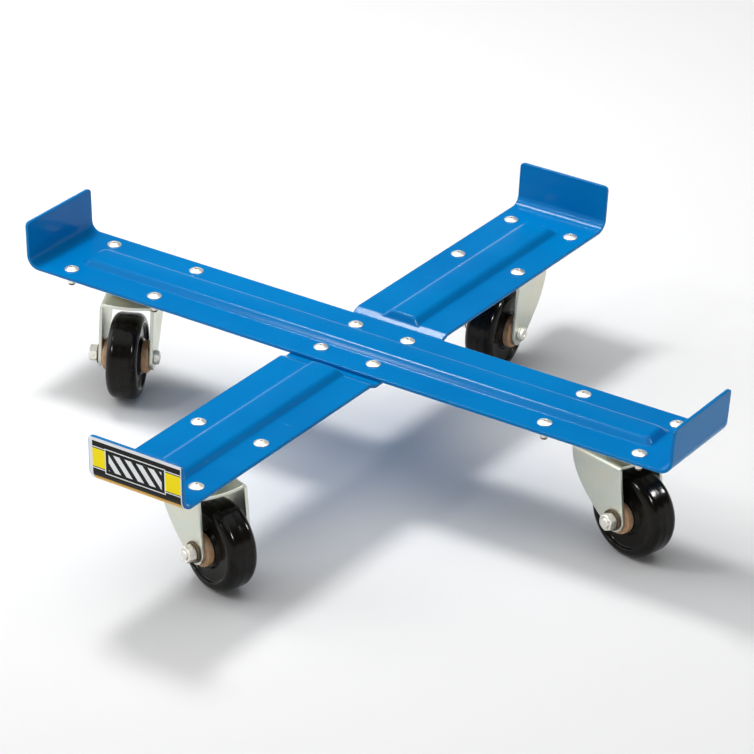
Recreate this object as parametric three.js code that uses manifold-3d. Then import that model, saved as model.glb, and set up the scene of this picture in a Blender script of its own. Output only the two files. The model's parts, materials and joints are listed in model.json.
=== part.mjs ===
// A cross-shaped wheel dolly: two pressed-steel arms riveted across each other, with upturned ends
// that hold a tyre or a stack of wheels, on four plate casters that swivel.
//
// Millimetres, +Z up. The origin is on the floor, under the crossing of the arms.
// The upper arm lies along X and the lower arm along Y.

import * as THREE from "three";
import { mergeVertices } from "three/addons/utils/BufferGeometryUtils.js";
import Module from "manifold-3d";

// ---------------------------------------------------------------- driving dimensions

// Arms
const armSpan = 642; // over the tops of the two upturned ends
const armWidth = 90;
const sheet = 3; // thickness of the pressed strip
const flangeHeight = 39; // above the deck
const flangeLean = THREE.MathUtils.degToRad(3); // outwards from upright
const flangeCorner = 4; // radius of the two top corners
const bendRadius = 9; // inside radius where an end turns up

// Rib pressed up along the middle of each arm
const ribHeight = 5.7;
const ribTopWidth = 24;
const ribFootWidth = 35;
const ribStop = 4; // flat top ends this far inside the outermost rivets
const ribStart = 13.7; // the lower arm's flat tops start this far beyond the upper arm's edges
const ribStartRun = 4.5; // run of the end wall there

// Crossing: the lower arm steps down under the upper one
const armGap = 0.3; // between the two sheets where they lie on each other
const landingMargin = 5; // flat landing beyond each edge of the upper arm
const rampLength = 8;
const centreRivetPitch = 52; // the four centre rivets stand on a square

// Casters
const casterInset = 83; // kingpin axis to the top of the nearest flange
const wheelDiameter = 75;
const wheelWidth = 27;
const wheelShoulder = 7; // radius between tread and side
const wheelRecess = 2.5; // depth of the hollow in each side
const wheelDraft = 2; // slope of that hollow's walls
const hubLand = 1.5; // hub face showing round its washer
const trail = 31; // axle behind the kingpin axis
const hubWasher = 6.5; // thickness of the washer at each side of the hub
const hubWasherDiameter = 28;
const hubWasherChamfer = 2;
const forkSheet = 3;
const forkBend = 5; // outside radius between crown and leg
const crownRoom = 9; // between wheel top and crown
const legEndRadius = 11; // rounded end of a leg, about the axle
const legSweep = THREE.MathUtils.degToRad(34); // slope of the front edge where it meets that end
const legFullness = 0.42; // how far the front edge bows out, as a share of the leg's height
const legFront = 19; // front edge of a leg at its top, ahead of the kingpin axis
const legBack = 35; // back edge of a leg at its top, behind the kingpin axis
const crownBulge = 4; // the crown's free edge bows out past the legs
const raceHeight = 11; // between top plate and crown
const raceRadius = 25;
const raceWaist = 2.5; // groove between cup and cap
const raceChamfer = 3;
const plateThickness = 3;
const plateMargin = 12; // rivet centre to the plate's short edge
const plateSideMargin = 10; // rivet centre to the plate's long edge
const plateCorner = 6;
const plateRivetLong = 88; // rivet pattern, along the arm
const plateRivetCross = 61; // and across it
const kingpinDiameter = 10;
const kingpinHead = 18;
const kingpinHeadHeight = 3;
const swivelWasher = 26; // washer riveted under the crown
const swivelWasherHeight = 2.5;

// Swivel angle at which each caster is parked: where its wheel trails, from +X towards +Y
const parked = { left: 296, front: 340, right: 345, back: 275 };

// Blind rivets that hold the arms and the caster plates
const rivetDiameter = 6.4;
const rivetHead = 12.6;
const rivetHeadHeight = 2.8;
const rivetMouth = 3; // hollow in the head, where its pin broke off
const rivetMouthDepth = 0.8;
const rivetBulge = 8.4; // its body swells to this below the sheets
const rivetBulgeHeight = 3;
const rivetTail = 8.7; // whole length below the sheets
const rivetTip = 1.2; // height of its rounded tip

// M8 axle bolts
const axleDiameter = 8;
const axleHead = 12.5;
const axleHeadHeight = 4.5;
const axleHeadChamfer = 1.4;
const axleNutFlats = 13;
const axleNutHeight = 7;
const axleCollar = 18; // washer face of the axle nut
const axleCollarHeight = 1.6;
const axlePast = 1.1; // thread showing past the nut
const sleeveWall = 2;

// Label on the front end
const labelWidth = 88;
const labelWrap = THREE.MathUtils.degToRad(50); // how far its lower end follows the bend
const labelThickness = 0.4;
const labelTopInset = 0.4; // below the flange's top edge

// Fits
const fit = 0.3; // all round a shaft in its hole, and between pieces that turn on each other
const labelGap = 0.1; // glue line under the label
const past = 1; // how far a cutter or a cutting outline reaches past the faces it cuts

// Facets
const wheelSteps = 32;
const plainSteps = 18; // other turned parts
const pinSteps = 12; // rivets, axle bolts and their holes
const bendSteps = 6; // a flange's bend
const cornerSteps = 3; // small rounded corners

// ---------------------------------------------------------------- heights and places

const axleHeight = wheelDiameter / 2;
const crownBottom = wheelDiameter + crownRoom;
const crownTop = crownBottom + forkSheet;
const plateBottom = crownTop + raceHeight;
const plateTop = plateBottom + plateThickness;
const deckTop = plateTop + sheet;
const casterReach = armSpan / 2 - casterInset; // kingpin axis from the crossing
const landingHalf = armWidth / 2 + landingMargin;
const drop = sheet + armGap; // depth of the lower arm's step
const ribEnd = casterReach + plateRivetLong / 2 - ribStop; // end of the rib's flat top
const ribSlope = (ribFootWidth - ribTopWidth) / 2 / ribHeight; // run of a rib wall for each mm of rise
const ribOffset = sheet * Math.hypot(1, ribSlope); // level distance between a rib wall's two faces
const startSlope = ribStartRun / (ribHeight + drop); // the same for the end wall at the step
const startOffset = sheet * Math.hypot(1, startSlope);
const legInside = wheelWidth / 2 + hubWasher + 2 * fit;
const legOutside = legInside + forkSheet;
const legLow = axleHeight - legEndRadius - past; // below the ends of the legs
const crownNose = Math.hypot(legFront, legOutside); // its round nose runs into the legs' front edges
const sleeveBore = axleDiameter / 2 + fit; // radius
const sleeveOutside = sleeveBore + sleeveWall; // radius
const hubBore = sleeveOutside + fit; // radius, of wheel and hub washers

// Side view of a flange: its bend turns about bendX, and its flat is flangeFlat long
const flangeFlat = (flangeHeight - bendRadius * (1 - Math.sin(flangeLean))) / Math.cos(flangeLean);
const bendX = armSpan / 2 - (bendRadius + sheet) * Math.cos(flangeLean) - flangeFlat * Math.sin(flangeLean);

// ---------------------------------------------------------------- finishes

const finishes = {
  bluePaint: { color: 0x0d74bf, roughness: 0.35, metalness: 0.1 },
  zinc: { color: 0xb9c0b4, roughness: 0.42, metalness: 0.85 },
  brightZinc: { color: 0xd9d8d0, roughness: 0.3, metalness: 0.9 },
  blackTread: { color: 0x15140f, roughness: 0.22, metalness: 0 },
  brownWasher: { color: 0x8c6947, roughness: 0.6, metalness: 0 },
  labelFilm: { color: 0xf2c800, roughness: 0.45, metalness: 0 },
};
for (const name in finishes) finishes[name] = new THREE.MeshStandardMaterial(finishes[name]);

// ---------------------------------------------------------------- solids

const wasm = await Module();
wasm.setup();

// A closed geometry as a solid that can be joined and cut.
function solid(geometry) {
  const bare = geometry.clone();
  bare.deleteAttribute("normal");
  bare.deleteAttribute("uv");
  const merged = mergeVertices(bare, 1e-4);
  return new wasm.Manifold(
    new wasm.Mesh({
      numProp: 3,
      vertProperties: merged.attributes.position.array,
      triVerts: new Uint32Array(merged.index.array),
    }),
  );
}

// A solid back as a geometry.
function geometryOf(body) {
  const mesh = body.getMesh();
  return new THREE.BufferGeometry()
    .setAttribute("position", new THREE.BufferAttribute(mesh.vertProperties, 3))
    .setIndex(new THREE.BufferAttribute(mesh.triVerts, 1))
    .toNonIndexed();
}

function meshOf(name, shape, finish) {
  const geometry = shape.isBufferGeometry ? shape : geometryOf(shape);
  geometry.computeVertexNormals();
  const mesh = new THREE.Mesh(geometry, finishes[finish]);
  mesh.name = name;
  return mesh;
}

const shapeOf = (points) => new THREE.Shape(points.map(([x, y]) => new THREE.Vector2(x, y)));

// An outline in X and Z, extruded along Y and centred on it.
function alongY(shape, length) {
  const options = { depth: length, bevelEnabled: false, curveSegments: bendSteps };
  return new THREE.ExtrudeGeometry(shape, options).translate(0, 0, -length / 2).rotateX(Math.PI / 2);
}

// An outline in Y and Z, extruded along X and centred on it.
function alongX(shape, length) {
  return alongY(shape, length).rotateZ(Math.PI / 2);
}

// An outline in X and Y, extruded up from z.
function alongZ(shape, z, height) {
  const options = { depth: height, bevelEnabled: false, curveSegments: bendSteps };
  return new THREE.ExtrudeGeometry(shape, options).translate(0, 0, z);
}

// A ring or a plug turned about Y: profile points are [radius, place along the axis], in one loop.
function turned(profile, steps) {
  const points = profile.map(([r, y]) => new THREE.Vector2(r, y));
  return new THREE.LatheGeometry([...points, points[0].clone()], steps);
}

// The same, about Z.
const turnedUp = (profile, steps) => turned(profile, steps).rotateX(Math.PI / 2);

// An upright round cutter or pin between two heights.
function rod(diameter, low, high, x = 0, y = 0) {
  return new THREE.CylinderGeometry(diameter / 2, diameter / 2, high - low, pinSteps)
    .rotateX(Math.PI / 2)
    .translate(x, y, (low + high) / 2);
}

// A hexagon of given width across its flats, between two heights.
function hexagon(flats, low, high) {
  const radius = flats / Math.sqrt(3);
  return new THREE.CylinderGeometry(radius, radius, high - low, 6)
    .rotateX(Math.PI / 2)
    .translate(0, 0, (low + high) / 2);
}

// Points along a circle from one angle to another about a centre.
function arc(cx, cy, radius, from, to, steps) {
  return Array.from({ length: steps + 1 }, (_, i) => {
    const angle = from + ((to - from) * i) / steps;
    return [cx + radius * Math.cos(angle), cy + radius * Math.sin(angle)];
  });
}

// ---------------------------------------------------------------- arms

// Right-hand flange in side view, from the underside of the deck to its upper side.
function flangeOutline() {
  const bendZ = deckTop + bendRadius;
  const up = [Math.sin(flangeLean), Math.cos(flangeLean)];
  const outer = arc(bendX, bendZ, bendRadius + sheet, -Math.PI / 2, -flangeLean, bendSteps);
  const inner = arc(bendX, bendZ, bendRadius, -flangeLean, -Math.PI / 2, bendSteps);
  const top = ([x, z]) => [x + flangeFlat * up[0], z + flangeFlat * up[1]];
  return [...outer, top(outer.at(-1)), top(inner[0]), ...inner];
}

// Side view of a whole arm. belly holds the right half of the deck's step as [x, depth] points.
function armOutline(belly) {
  const low = belly.map(([x, depth]) => [x, deckTop - sheet - depth]);
  const high = belly.map(([x, depth]) => [x, deckTop - depth]).reverse();
  const right = [...low, ...flangeOutline(), ...high];
  const left = right.map(([x, z]) => [-x, z]).reverse();
  return shapeOf([...right, ...left]);
}

// The width of an arm with rounded corners at the top of its flanges, seen from the end.
function armFace() {
  const half = armWidth / 2;
  const top = deckTop + flangeHeight;
  const right = [
    [half, deckTop - sheet - drop - past],
    ...arc(half - flangeCorner, top - flangeCorner, flangeCorner, 0, Math.PI / 2, cornerSteps),
  ];
  return shapeOf([...right, ...right.map(([y, z]) => [-y, z]).reverse()]);
}

const ribHalf = (z) => ribFootWidth / 2 - ribSlope * z; // half-width of a rib at a height over the deck
const ribReach = (z) => ribEnd + ribSlope * (ribHeight - z); // its outer end
const startReach = (z) => armWidth / 2 + ribStart - startSlope * (ribHeight - z); // its end at the step
const overDeck = ([a, z]) => [a, deckTop + z];

// Where that end wall runs into the middle of the ramp's sheet.
function rampMeet() {
  const rise = drop / rampLength;
  const x = (startReach(-drop - sheet / 2) - startSlope * rise * landingHalf) / (1 - startSlope * rise);
  return [x, rise * (x - landingHalf) - drop - sheet / 2];
}

// Section of a rib, or of the hollow under it.
function ribSection(hollow) {
  const top = hollow ? ribHeight - sheet : ribHeight;
  const knee = hollow ? -sheet : -drop - sheet / 2;
  const inset = hollow ? ribOffset : 0;
  const half = [
    [ribHalf(knee) - inset, knee],
    [ribHalf(top) - inset, top],
  ];
  if (hollow) half.unshift([ribHalf(knee) - inset, -sheet - drop - past]);
  return shapeOf([...half, ...half.map(([y, z]) => [-y, z]).reverse()].map(overDeck));
}

// Side view of the rib that runs the whole upper arm, or of the hollow under it.
function longRibOutline(hollow) {
  const top = hollow ? ribHeight - sheet : ribHeight;
  const knee = hollow ? -sheet : -sheet / 2;
  const inset = hollow ? ribOffset : 0;
  const half = [
    [ribReach(knee) - inset, hollow ? knee - past : knee],
    [ribReach(hollow ? knee : 0) - inset, hollow ? knee : 0],
    [ribReach(top) - inset, top],
  ];
  return shapeOf([...half, ...half.map(([x, z]) => [-x, z]).reverse()].map(overDeck));
}

// Side view of the right-hand rib of the lower arm, which starts at the step, or of its hollow.
function shortRibOutline(hollow) {
  if (hollow) {
    const top = ribHeight - sheet;
    const floor = -sheet - drop - past;
    return shapeOf(
      [
        [startReach(floor) + startOffset, floor],
        [ribReach(-sheet) - ribOffset, floor],
        [ribReach(-sheet) - ribOffset, -sheet],
        [ribReach(top) - ribOffset, top],
        [startReach(top) + startOffset, top],
      ].map(overDeck),
    );
  }
  return shapeOf(
    [
      rampMeet(),
      [landingHalf + rampLength, -sheet / 2],
      [ribReach(0), -sheet / 2],
      [ribReach(0), 0],
      [ribReach(ribHeight), ribHeight],
      [startReach(ribHeight), ribHeight],
    ].map(overDeck),
  );
}

// A rib or its hollow: its side view met by its section.
function rib(outline, hollow) {
  return solid(alongY(outline, armWidth)).intersect(solid(alongX(ribSection(hollow), armSpan)));
}

// Places of an arm's rivets in its own frame: four over each caster.
function plateRivetPlaces() {
  const places = [];
  for (const end of [-1, 1])
    for (const along of [-1, 1])
      for (const across of [-1, 1])
        places.push([end * casterReach + (along * plateRivetLong) / 2, (across * plateRivetCross) / 2]);
  return places;
}

function centreRivetPlaces() {
  const reach = centreRivetPitch / 2;
  return [
    [-reach, -reach],
    [reach, -reach],
    [reach, reach],
    [-reach, reach],
  ];
}

// One arm along X: strip, ribs, rivet holes.
function armSolid(belly, ribOutlines) {
  let body = solid(alongY(armOutline(belly), armWidth)).intersect(solid(alongX(armFace(), 2 * armSpan)));
  for (const outline of ribOutlines) body = body.add(rib(outline(false), false));
  for (const outline of ribOutlines) body = body.subtract(rib(outline(true), true));
  for (const [x, y] of [...plateRivetPlaces(), ...centreRivetPlaces()]) {
    const hole = rod(rivetDiameter + 2 * fit, deckTop - sheet - drop - past, deckTop + past, x, y);
    body = body.subtract(solid(hole));
  }
  return body;
}

// The same outline at the arm's other end.
function mirrored(outline) {
  return (hollow) => {
    const points = outline(hollow)
      .getPoints()
      .map((p) => [-p.x, p.y])
      .reverse();
    return shapeOf(points);
  };
}

function upperArm() {
  return meshOf("upper_arm", armSolid([], [longRibOutline]), "bluePaint");
}

function lowerArm() {
  const belly = [
    [landingHalf, drop],
    [landingHalf + rampLength, 0],
  ];
  const ribs = [shortRibOutline, mirrored(shortRibOutline)];
  return meshOf("lower_arm", armSolid(belly, ribs), "bluePaint");
}

// ---------------------------------------------------------------- fasteners

// A blind rivet through a stack of sheets whose top is at z = 0.
function deckRivet(name, stack) {
  const shank = rivetDiameter / 2;
  const head = rivetHead / 2;
  const bulge = rivetBulge / 2;
  const mouth = rivetMouth / 2;
  const end = -stack - rivetTail;
  const profile = [
    [0, end],
    [shank / 2, end],
    [shank, end + rivetTip],
    [shank, -stack - rivetBulgeHeight],
    [bulge, -stack - rivetBulgeHeight / 2],
    [bulge, -stack],
    [shank, -stack],
    [shank, 0],
    [head, 0],
    [head, rivetHeadHeight / 3],
    [head / 2, rivetHeadHeight],
    [mouth, rivetHeadHeight],
    [mouth, rivetHeadHeight - rivetMouthDepth],
    [0, rivetHeadHeight - rivetMouthDepth],
  ];
  return meshOf(name, turnedUp(profile, pinSteps), "brightZinc");
}

// ---------------------------------------------------------------- casters

function roundedRectangle(halfX, halfY, radius) {
  const corners = [
    [1, 1],
    [-1, 1],
    [-1, -1],
    [1, -1],
  ];
  const rounded = ([sideX, sideY], i) => {
    const from = (i * Math.PI) / 2;
    const [x, y] = [sideX * (halfX - radius), sideY * (halfY - radius)];
    return arc(x, y, radius, from, from + Math.PI / 2, cornerSteps);
  };
  return shapeOf(corners.flatMap(rounded));
}

function topPlate(name) {
  const halfX = plateRivetLong / 2 + plateMargin;
  const halfY = plateRivetCross / 2 + plateSideMargin;
  let body = solid(alongZ(roundedRectangle(halfX, halfY, plateCorner), plateBottom, plateThickness));
  const low = plateBottom - past;
  const high = plateTop + past;
  body = body.subtract(solid(rod(kingpinDiameter + 2 * fit, low, high)));
  for (const along of [-1, 1])
    for (const across of [-1, 1]) {
      const place = [(along * plateRivetLong) / 2, (across * plateRivetCross) / 2];
      body = body.subtract(solid(rod(rivetDiameter + 2 * fit, low, high, ...place)));
    }
  return meshOf(name, body, "zinc");
}

// Cup and cap that hold the balls, in one ring between the plate and the fork.
function ballRace(name) {
  const bore = kingpinDiameter / 2 + fit;
  const low = crownTop + fit;
  const middle = (low + plateBottom) / 2;
  const profile = [
    [bore, low],
    [raceRadius - raceChamfer, low],
    [raceRadius, low + raceChamfer],
    [raceRadius, middle - raceWaist / 2],
    [raceRadius - raceWaist, middle + raceWaist / 2],
    [raceRadius, plateBottom],
    [bore, plateBottom],
  ];
  return meshOf(name, turnedUp(profile, plainSteps), "zinc");
}

// Rivet that holds the plate, the balls and the fork together.
function kingpin(name) {
  const shank = kingpinDiameter / 2;
  const head = kingpinHead / 2;
  const washer = swivelWasher / 2;
  const washerTop = crownBottom - fit;
  const washerBottom = washerTop - swivelWasherHeight;
  const profile = [
    [0, washerBottom - kingpinHeadHeight],
    [shank, washerBottom - kingpinHeadHeight],
    [head, washerBottom],
    [washer, washerBottom],
    [washer, washerTop],
    [shank, washerTop],
    [shank, plateTop],
    [head, plateTop],
    [shank, plateTop + kingpinHeadHeight],
    [0, plateTop + kingpinHeadHeight],
  ];
  return meshOf(name, turnedUp(profile, plainSteps), "zinc");
}

// Fork seen from the end: an inverted U with rounded shoulders.
function forkSection() {
  const inner = forkBend - forkSheet;
  const quarter = Math.PI / 2;
  const right = [
    [legInside, legLow],
    [legOutside, legLow],
    ...arc(legOutside - forkBend, crownTop - forkBend, forkBend, 0, quarter, cornerSteps),
  ];
  const inside = arc(legInside - inner, crownBottom - inner, inner, 0, quarter, cornerSteps);
  const flip = (points) => points.map(([y, z]) => [-y, z]).reverse();
  return shapeOf([...right, ...flip(right), ...flip(inside).reverse(), ...inside.reverse()]);
}

// Fork seen from the side: upright back edge, swept front edge, round end about the axle.
function forkSide() {
  const endAngle = Math.PI * 1.5 - legSweep;
  const footX = trail + legEndRadius * Math.cos(endAngle);
  const footZ = axleHeight + legEndRadius * Math.sin(endAngle);
  const bow = legFullness * (crownBottom - footZ);
  const crownBack = legBack + crownBulge + past;
  const crownFront = crownNose + past;
  const shape = new THREE.Shape();
  shape.moveTo(-crownFront, crownTop + past);
  shape.lineTo(-crownFront, crownBottom);
  shape.lineTo(-legFront, crownBottom);
  shape.bezierCurveTo(
    -legFront,
    crownBottom - bow,
    footX - bow * Math.cos(legSweep),
    footZ + bow * Math.sin(legSweep),
    footX,
    footZ,
  );
  shape.absarc(trail, axleHeight, legEndRadius, endAngle, 2 * Math.PI, false);
  shape.lineTo(legBack, crownBottom);
  shape.lineTo(crownBack, crownBottom);
  shape.lineTo(crownBack, crownTop + past);
  return shape;
}

// Crown seen from above: round nose, bowed free edge at the back.
function crownPlan() {
  const turn = Math.atan2(legOutside, legFront);
  const bowRadius = (legOutside ** 2 + crownBulge ** 2) / (2 * crownBulge);
  const bowHalf = Math.asin(legOutside / bowRadius);
  return shapeOf([
    ...arc(0, 0, crownNose, Math.PI - turn, Math.PI + turn, bendSteps),
    ...arc(legBack + crownBulge - bowRadius, 0, bowRadius, -bowHalf, bowHalf, bendSteps),
  ]);
}

// The crown's outline trims only the crown and its bends: the legs below reach further back.
function fork(name) {
  const trimFrom = crownBottom - forkBend;
  const crown = alongZ(crownPlan(), trimFrom, crownTop + past - trimFrom);
  const legs = new THREE.BoxGeometry(4 * trail, 4 * legOutside, trimFrom - legLow);
  legs.translate(trail, 0, (trimFrom + legLow) / 2);
  const axleHole = rod(axleDiameter + 2 * fit, -2 * legOutside, 2 * legOutside);
  axleHole.rotateX(Math.PI / 2).translate(trail, 0, axleHeight);
  const body = solid(alongX(forkSection(), 4 * (trail + crownNose)))
    .intersect(solid(alongY(forkSide(), 4 * legOutside)))
    .intersect(solid(crown).add(solid(legs)))
    .subtract(solid(rod(kingpinDiameter + 2 * fit, crownBottom - past, crownTop + past)))
    .subtract(solid(axleHole));
  return meshOf(name, body, "zinc");
}

// Axle bolt with its nut. The head is on the +Y side and the nut on the -Y side of the fork.
function axleBolt(name) {
  const shank = axleDiameter / 2;
  const seat = legOutside + fit;
  const end = -(seat + axleCollarHeight + axleNutHeight + axlePast);
  const profile = [
    [0, end],
    [shank, end],
    [shank, seat],
    [axleHead / 2, seat],
    [axleHead / 2, seat + axleHeadHeight - axleHeadChamfer],
    [axleHead / 2 - axleHeadChamfer, seat + axleHeadHeight],
    [0, seat + axleHeadHeight],
  ];
  const collar = [
    [0, -seat - axleCollarHeight],
    [axleCollar / 2, -seat - axleCollarHeight],
    [axleCollar / 2, -seat],
    [0, -seat],
  ];
  const nut = hexagon(axleNutFlats, seat + axleCollarHeight, seat + axleCollarHeight + axleNutHeight);
  const body = solid(turned(profile, pinSteps))
    .add(solid(turned(collar, plainSteps)))
    .add(solid(nut.rotateX(Math.PI / 2)));
  return meshOf(name, body, "brightZinc");
}

// Tube clamped between the legs, on which the wheel turns.
function axleSleeve(name) {
  const half = legInside - fit;
  const profile = [
    [sleeveBore, -half],
    [sleeveOutside, -half],
    [sleeveOutside, half],
    [sleeveBore, half],
  ];
  return meshOf(name, turned(profile, pinSteps), "zinc");
}

// Moulded wheel: round shoulders, shallow recess in each side, raised hub.
function wheel(name) {
  const radius = wheelDiameter / 2;
  const half = wheelWidth / 2;
  const hub = hubWasherDiameter / 2 + hubLand;
  const rim = radius - wheelShoulder;
  const side = [
    ...arc(rim, half - wheelShoulder, wheelShoulder, 0, Math.PI / 2, cornerSteps),
    [rim - wheelDraft, half - wheelRecess],
    [hub + wheelDraft, half - wheelRecess],
    [hub, half],
    [hubBore, half],
  ];
  const profile = [...side.map(([r, y]) => [r, -y]).reverse(), ...side];
  // Its facets touch the true circles from outside, and one of them lies flat on the floor.
  const facet = Math.PI / wheelSteps;
  const grow = 1 / Math.cos(facet);
  return meshOf(name, turned(profile, wheelSteps).rotateY(facet).scale(grow, 1, grow), "blackTread");
}

// Washer between the hub and a leg. side is +1 or -1 along the axle.
function hubWasherMesh(name, side) {
  const near = wheelWidth / 2 + fit;
  const far = near + hubWasher;
  const rim = hubWasherDiameter / 2;
  const profile = [
    [hubBore, near],
    [rim, near],
    [rim, far - hubWasherChamfer],
    [rim - hubWasherChamfer, far],
    [hubBore, far],
  ];
  const loop = side > 0 ? profile : profile.map(([r, y]) => [r, -y]).reverse();
  return meshOf(name, turned(loop, plainSteps), "brownWasher");
}

// One caster under an arm's end. alongArm turns its plate, and angle is where its wheel trails.
function caster(side, alongArm, angle) {
  const plate = new THREE.Group();
  plate.rotation.z = alongArm;
  plate.add(topPlate(`${side}_top_plate`));

  const axle = new THREE.Group();
  axle.position.set(trail, 0, axleHeight);
  axle.add(
    axleBolt(`${side}_axle_bolt`),
    axleSleeve(`${side}_axle_sleeve`),
    wheel(`${side}_wheel`),
    hubWasherMesh(`${side}_hub_washer_head_side`, 1),
    hubWasherMesh(`${side}_hub_washer_nut_side`, -1),
  );

  const swivel = new THREE.Group();
  swivel.rotation.z = THREE.MathUtils.degToRad(angle);
  swivel.add(fork(`${side}_fork`), axle);

  const group = new THREE.Group();
  group.add(plate, ballRace(`${side}_ball_race`), kingpin(`${side}_kingpin`), swivel);
  return group;
}

// ---------------------------------------------------------------- label

// A film on the outer face of the flange at the arm's -X end: flat, then round part of the bend.
function endLabel() {
  const rise = flangeFlat - labelTopInset;
  const skin = (distance) => {
    const radius = bendRadius + sheet + distance;
    const from = -flangeLean - labelWrap;
    const wrapped = arc(bendX, deckTop + bendRadius, radius, from, -flangeLean, bendSteps);
    const [x, z] = wrapped.at(-1);
    return [...wrapped, [x + rise * Math.sin(flangeLean), z + rise * Math.cos(flangeLean)]];
  };
  const outline = [...skin(labelGap + labelThickness), ...skin(labelGap).reverse()];
  const film = alongY(shapeOf(outline.map(([x, z]) => [-x, z])), labelWidth);
  return meshOf("end_label", solid(film), "labelFilm");
}

// ---------------------------------------------------------------- assembly

const quarterTurn = Math.PI / 2;
const dolly = new THREE.Group();

const upper = new THREE.Group();
upper.add(upperArm());

const lower = new THREE.Group();
lower.rotation.z = quarterTurn; // its own +X end is the back one
lower.add(lowerArm(), endLabel());

dolly.add(upper, lower);

const ends = [
  { side: "left", arm: upper, turn: 0, end: -1 },
  { side: "right", arm: upper, turn: 0, end: 1 },
  { side: "front", arm: lower, turn: quarterTurn, end: -1 },
  { side: "back", arm: lower, turn: quarterTurn, end: 1 },
];

for (const { side, arm, turn, end } of ends) {
  const places = plateRivetPlaces().filter(([x]) => Math.sign(x) === end);
  places.forEach(([x, y], i) => {
    const rivet = deckRivet(`${side}_plate_rivet_${i + 1}`, sheet + plateThickness);
    rivet.position.set(x, y, deckTop);
    arm.add(rivet);
  });
  const group = caster(side, turn, parked[side]);
  group.position.set(end * casterReach * Math.cos(turn), end * casterReach * Math.sin(turn), 0);
  dolly.add(group);
}

centreRivetPlaces().forEach(([x, y], i) => {
  const rivet = deckRivet(`centre_rivet_${i + 1}`, 2 * sheet + armGap);
  rivet.position.set(x, y, deckTop);
  dolly.add(rivet);
});

export default dolly;
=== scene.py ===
"""Fine visual model of a wheel dolly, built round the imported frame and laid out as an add-on.

Lengths are in metres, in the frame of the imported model: +Z up, floor at z = 0, the upper arm along X
and the lower arm along Y. A caster's own frame has x towards the side its wheel trails to, y along the
axle and z up, with its origin on the floor under the kingpin.
"""

import json
from math import atan2, cos, hypot, pi, radians, sin, sqrt

import bmesh
import bpy
from bpy.props import FloatProperty, FloatVectorProperty, IntProperty, PointerProperty
from bpy.types import Operator, Panel, PropertyGroup
from mathutils import Matrix, Vector


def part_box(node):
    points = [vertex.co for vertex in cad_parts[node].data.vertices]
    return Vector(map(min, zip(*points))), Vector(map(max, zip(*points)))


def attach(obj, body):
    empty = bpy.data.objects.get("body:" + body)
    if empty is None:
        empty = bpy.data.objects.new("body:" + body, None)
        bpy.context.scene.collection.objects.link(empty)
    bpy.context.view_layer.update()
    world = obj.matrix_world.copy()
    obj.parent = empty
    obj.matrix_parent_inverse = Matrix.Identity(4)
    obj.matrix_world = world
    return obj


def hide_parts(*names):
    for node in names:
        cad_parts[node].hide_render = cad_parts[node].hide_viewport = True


bl_info = {
    "name": "Wheel Dolly",
    "version": (1, 0, 0),
    "blender": (4, 5, 0),
    "location": "3D View > Sidebar > Dolly",
    "description": "Builds the pieces, finishes and stage of a cross-shaped wheel dolly",
    "category": "Add Mesh",
}

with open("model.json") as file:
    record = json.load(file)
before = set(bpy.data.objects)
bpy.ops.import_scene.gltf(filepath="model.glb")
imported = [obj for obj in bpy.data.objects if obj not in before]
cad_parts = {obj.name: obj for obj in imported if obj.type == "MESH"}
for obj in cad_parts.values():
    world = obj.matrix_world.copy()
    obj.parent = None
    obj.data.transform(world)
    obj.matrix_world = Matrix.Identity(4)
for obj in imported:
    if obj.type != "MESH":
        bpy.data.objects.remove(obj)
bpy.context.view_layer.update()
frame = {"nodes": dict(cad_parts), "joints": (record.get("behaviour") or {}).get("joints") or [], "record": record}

MM = 0.001
SIDES = ("left", "right", "front", "back")
JOINTS = {joint["name"]: joint for joint in frame["joints"]}
MOUNTS = {mount["name"]: mount for mount in frame["record"]["mounts"]}
X, Y, Z = Vector((1, 0, 0)), Vector((0, 1, 0)), Vector((0, 0, 1))


# ---------------------------------------------------------------- places read from the frame


def node_middle(node):
    low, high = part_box(node)
    return (low + high) / 2


def node_size(node):
    low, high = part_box(node)
    return high - low


def caster_matrix(side):
    """A caster's own frame, turned to where its wheel is parked."""
    pin = Vector(JOINTS[f"{side}_swivel_turn"]["pos_m"])
    axle = Vector(JOINTS[f"{side}_wheel_roll"]["pos_m"])
    angle = atan2(axle.y - pin.y, axle.x - pin.x)
    return Matrix.Translation((pin.x, pin.y, 0)) @ Matrix.Rotation(angle, 4, "Z")


def axle_place():
    """Where the axle is in a caster's own frame."""
    pin = Vector(JOINTS["left_swivel_turn"]["pos_m"])
    axle = Vector(JOINTS["left_wheel_roll"]["pos_m"])
    return Vector((hypot(axle.x - pin.x, axle.y - pin.y), 0, axle.z))


PLATE_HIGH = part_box("left_top_plate")[1].z
DECK_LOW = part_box("upper_arm")[0].z
CROWN_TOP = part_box("left_fork")[1].z
AXLE = axle_place()
CLEAR = 0.3 * MM  # between pieces that turn on each other


# ---------------------------------------------------------------- sizes and colours


def length(label, default, note):
    return FloatProperty(name=label, description=note, default=default, min=0, unit="LENGTH", precision=5)


def angle(label, degrees, note):
    return FloatProperty(name=label, description=note, default=radians(degrees), unit="ROTATION")


def number(label, default, note):
    return FloatProperty(name=label, description=note, default=default, min=0)


def share(label, default, note):
    return FloatProperty(name=label, description=note, default=default, min=0, max=1, subtype="FACTOR")


def colour(label, default, note):
    return FloatVectorProperty(
        name=label, description=note, default=default, size=3, min=0, max=1, subtype="COLOR"
    )


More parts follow.
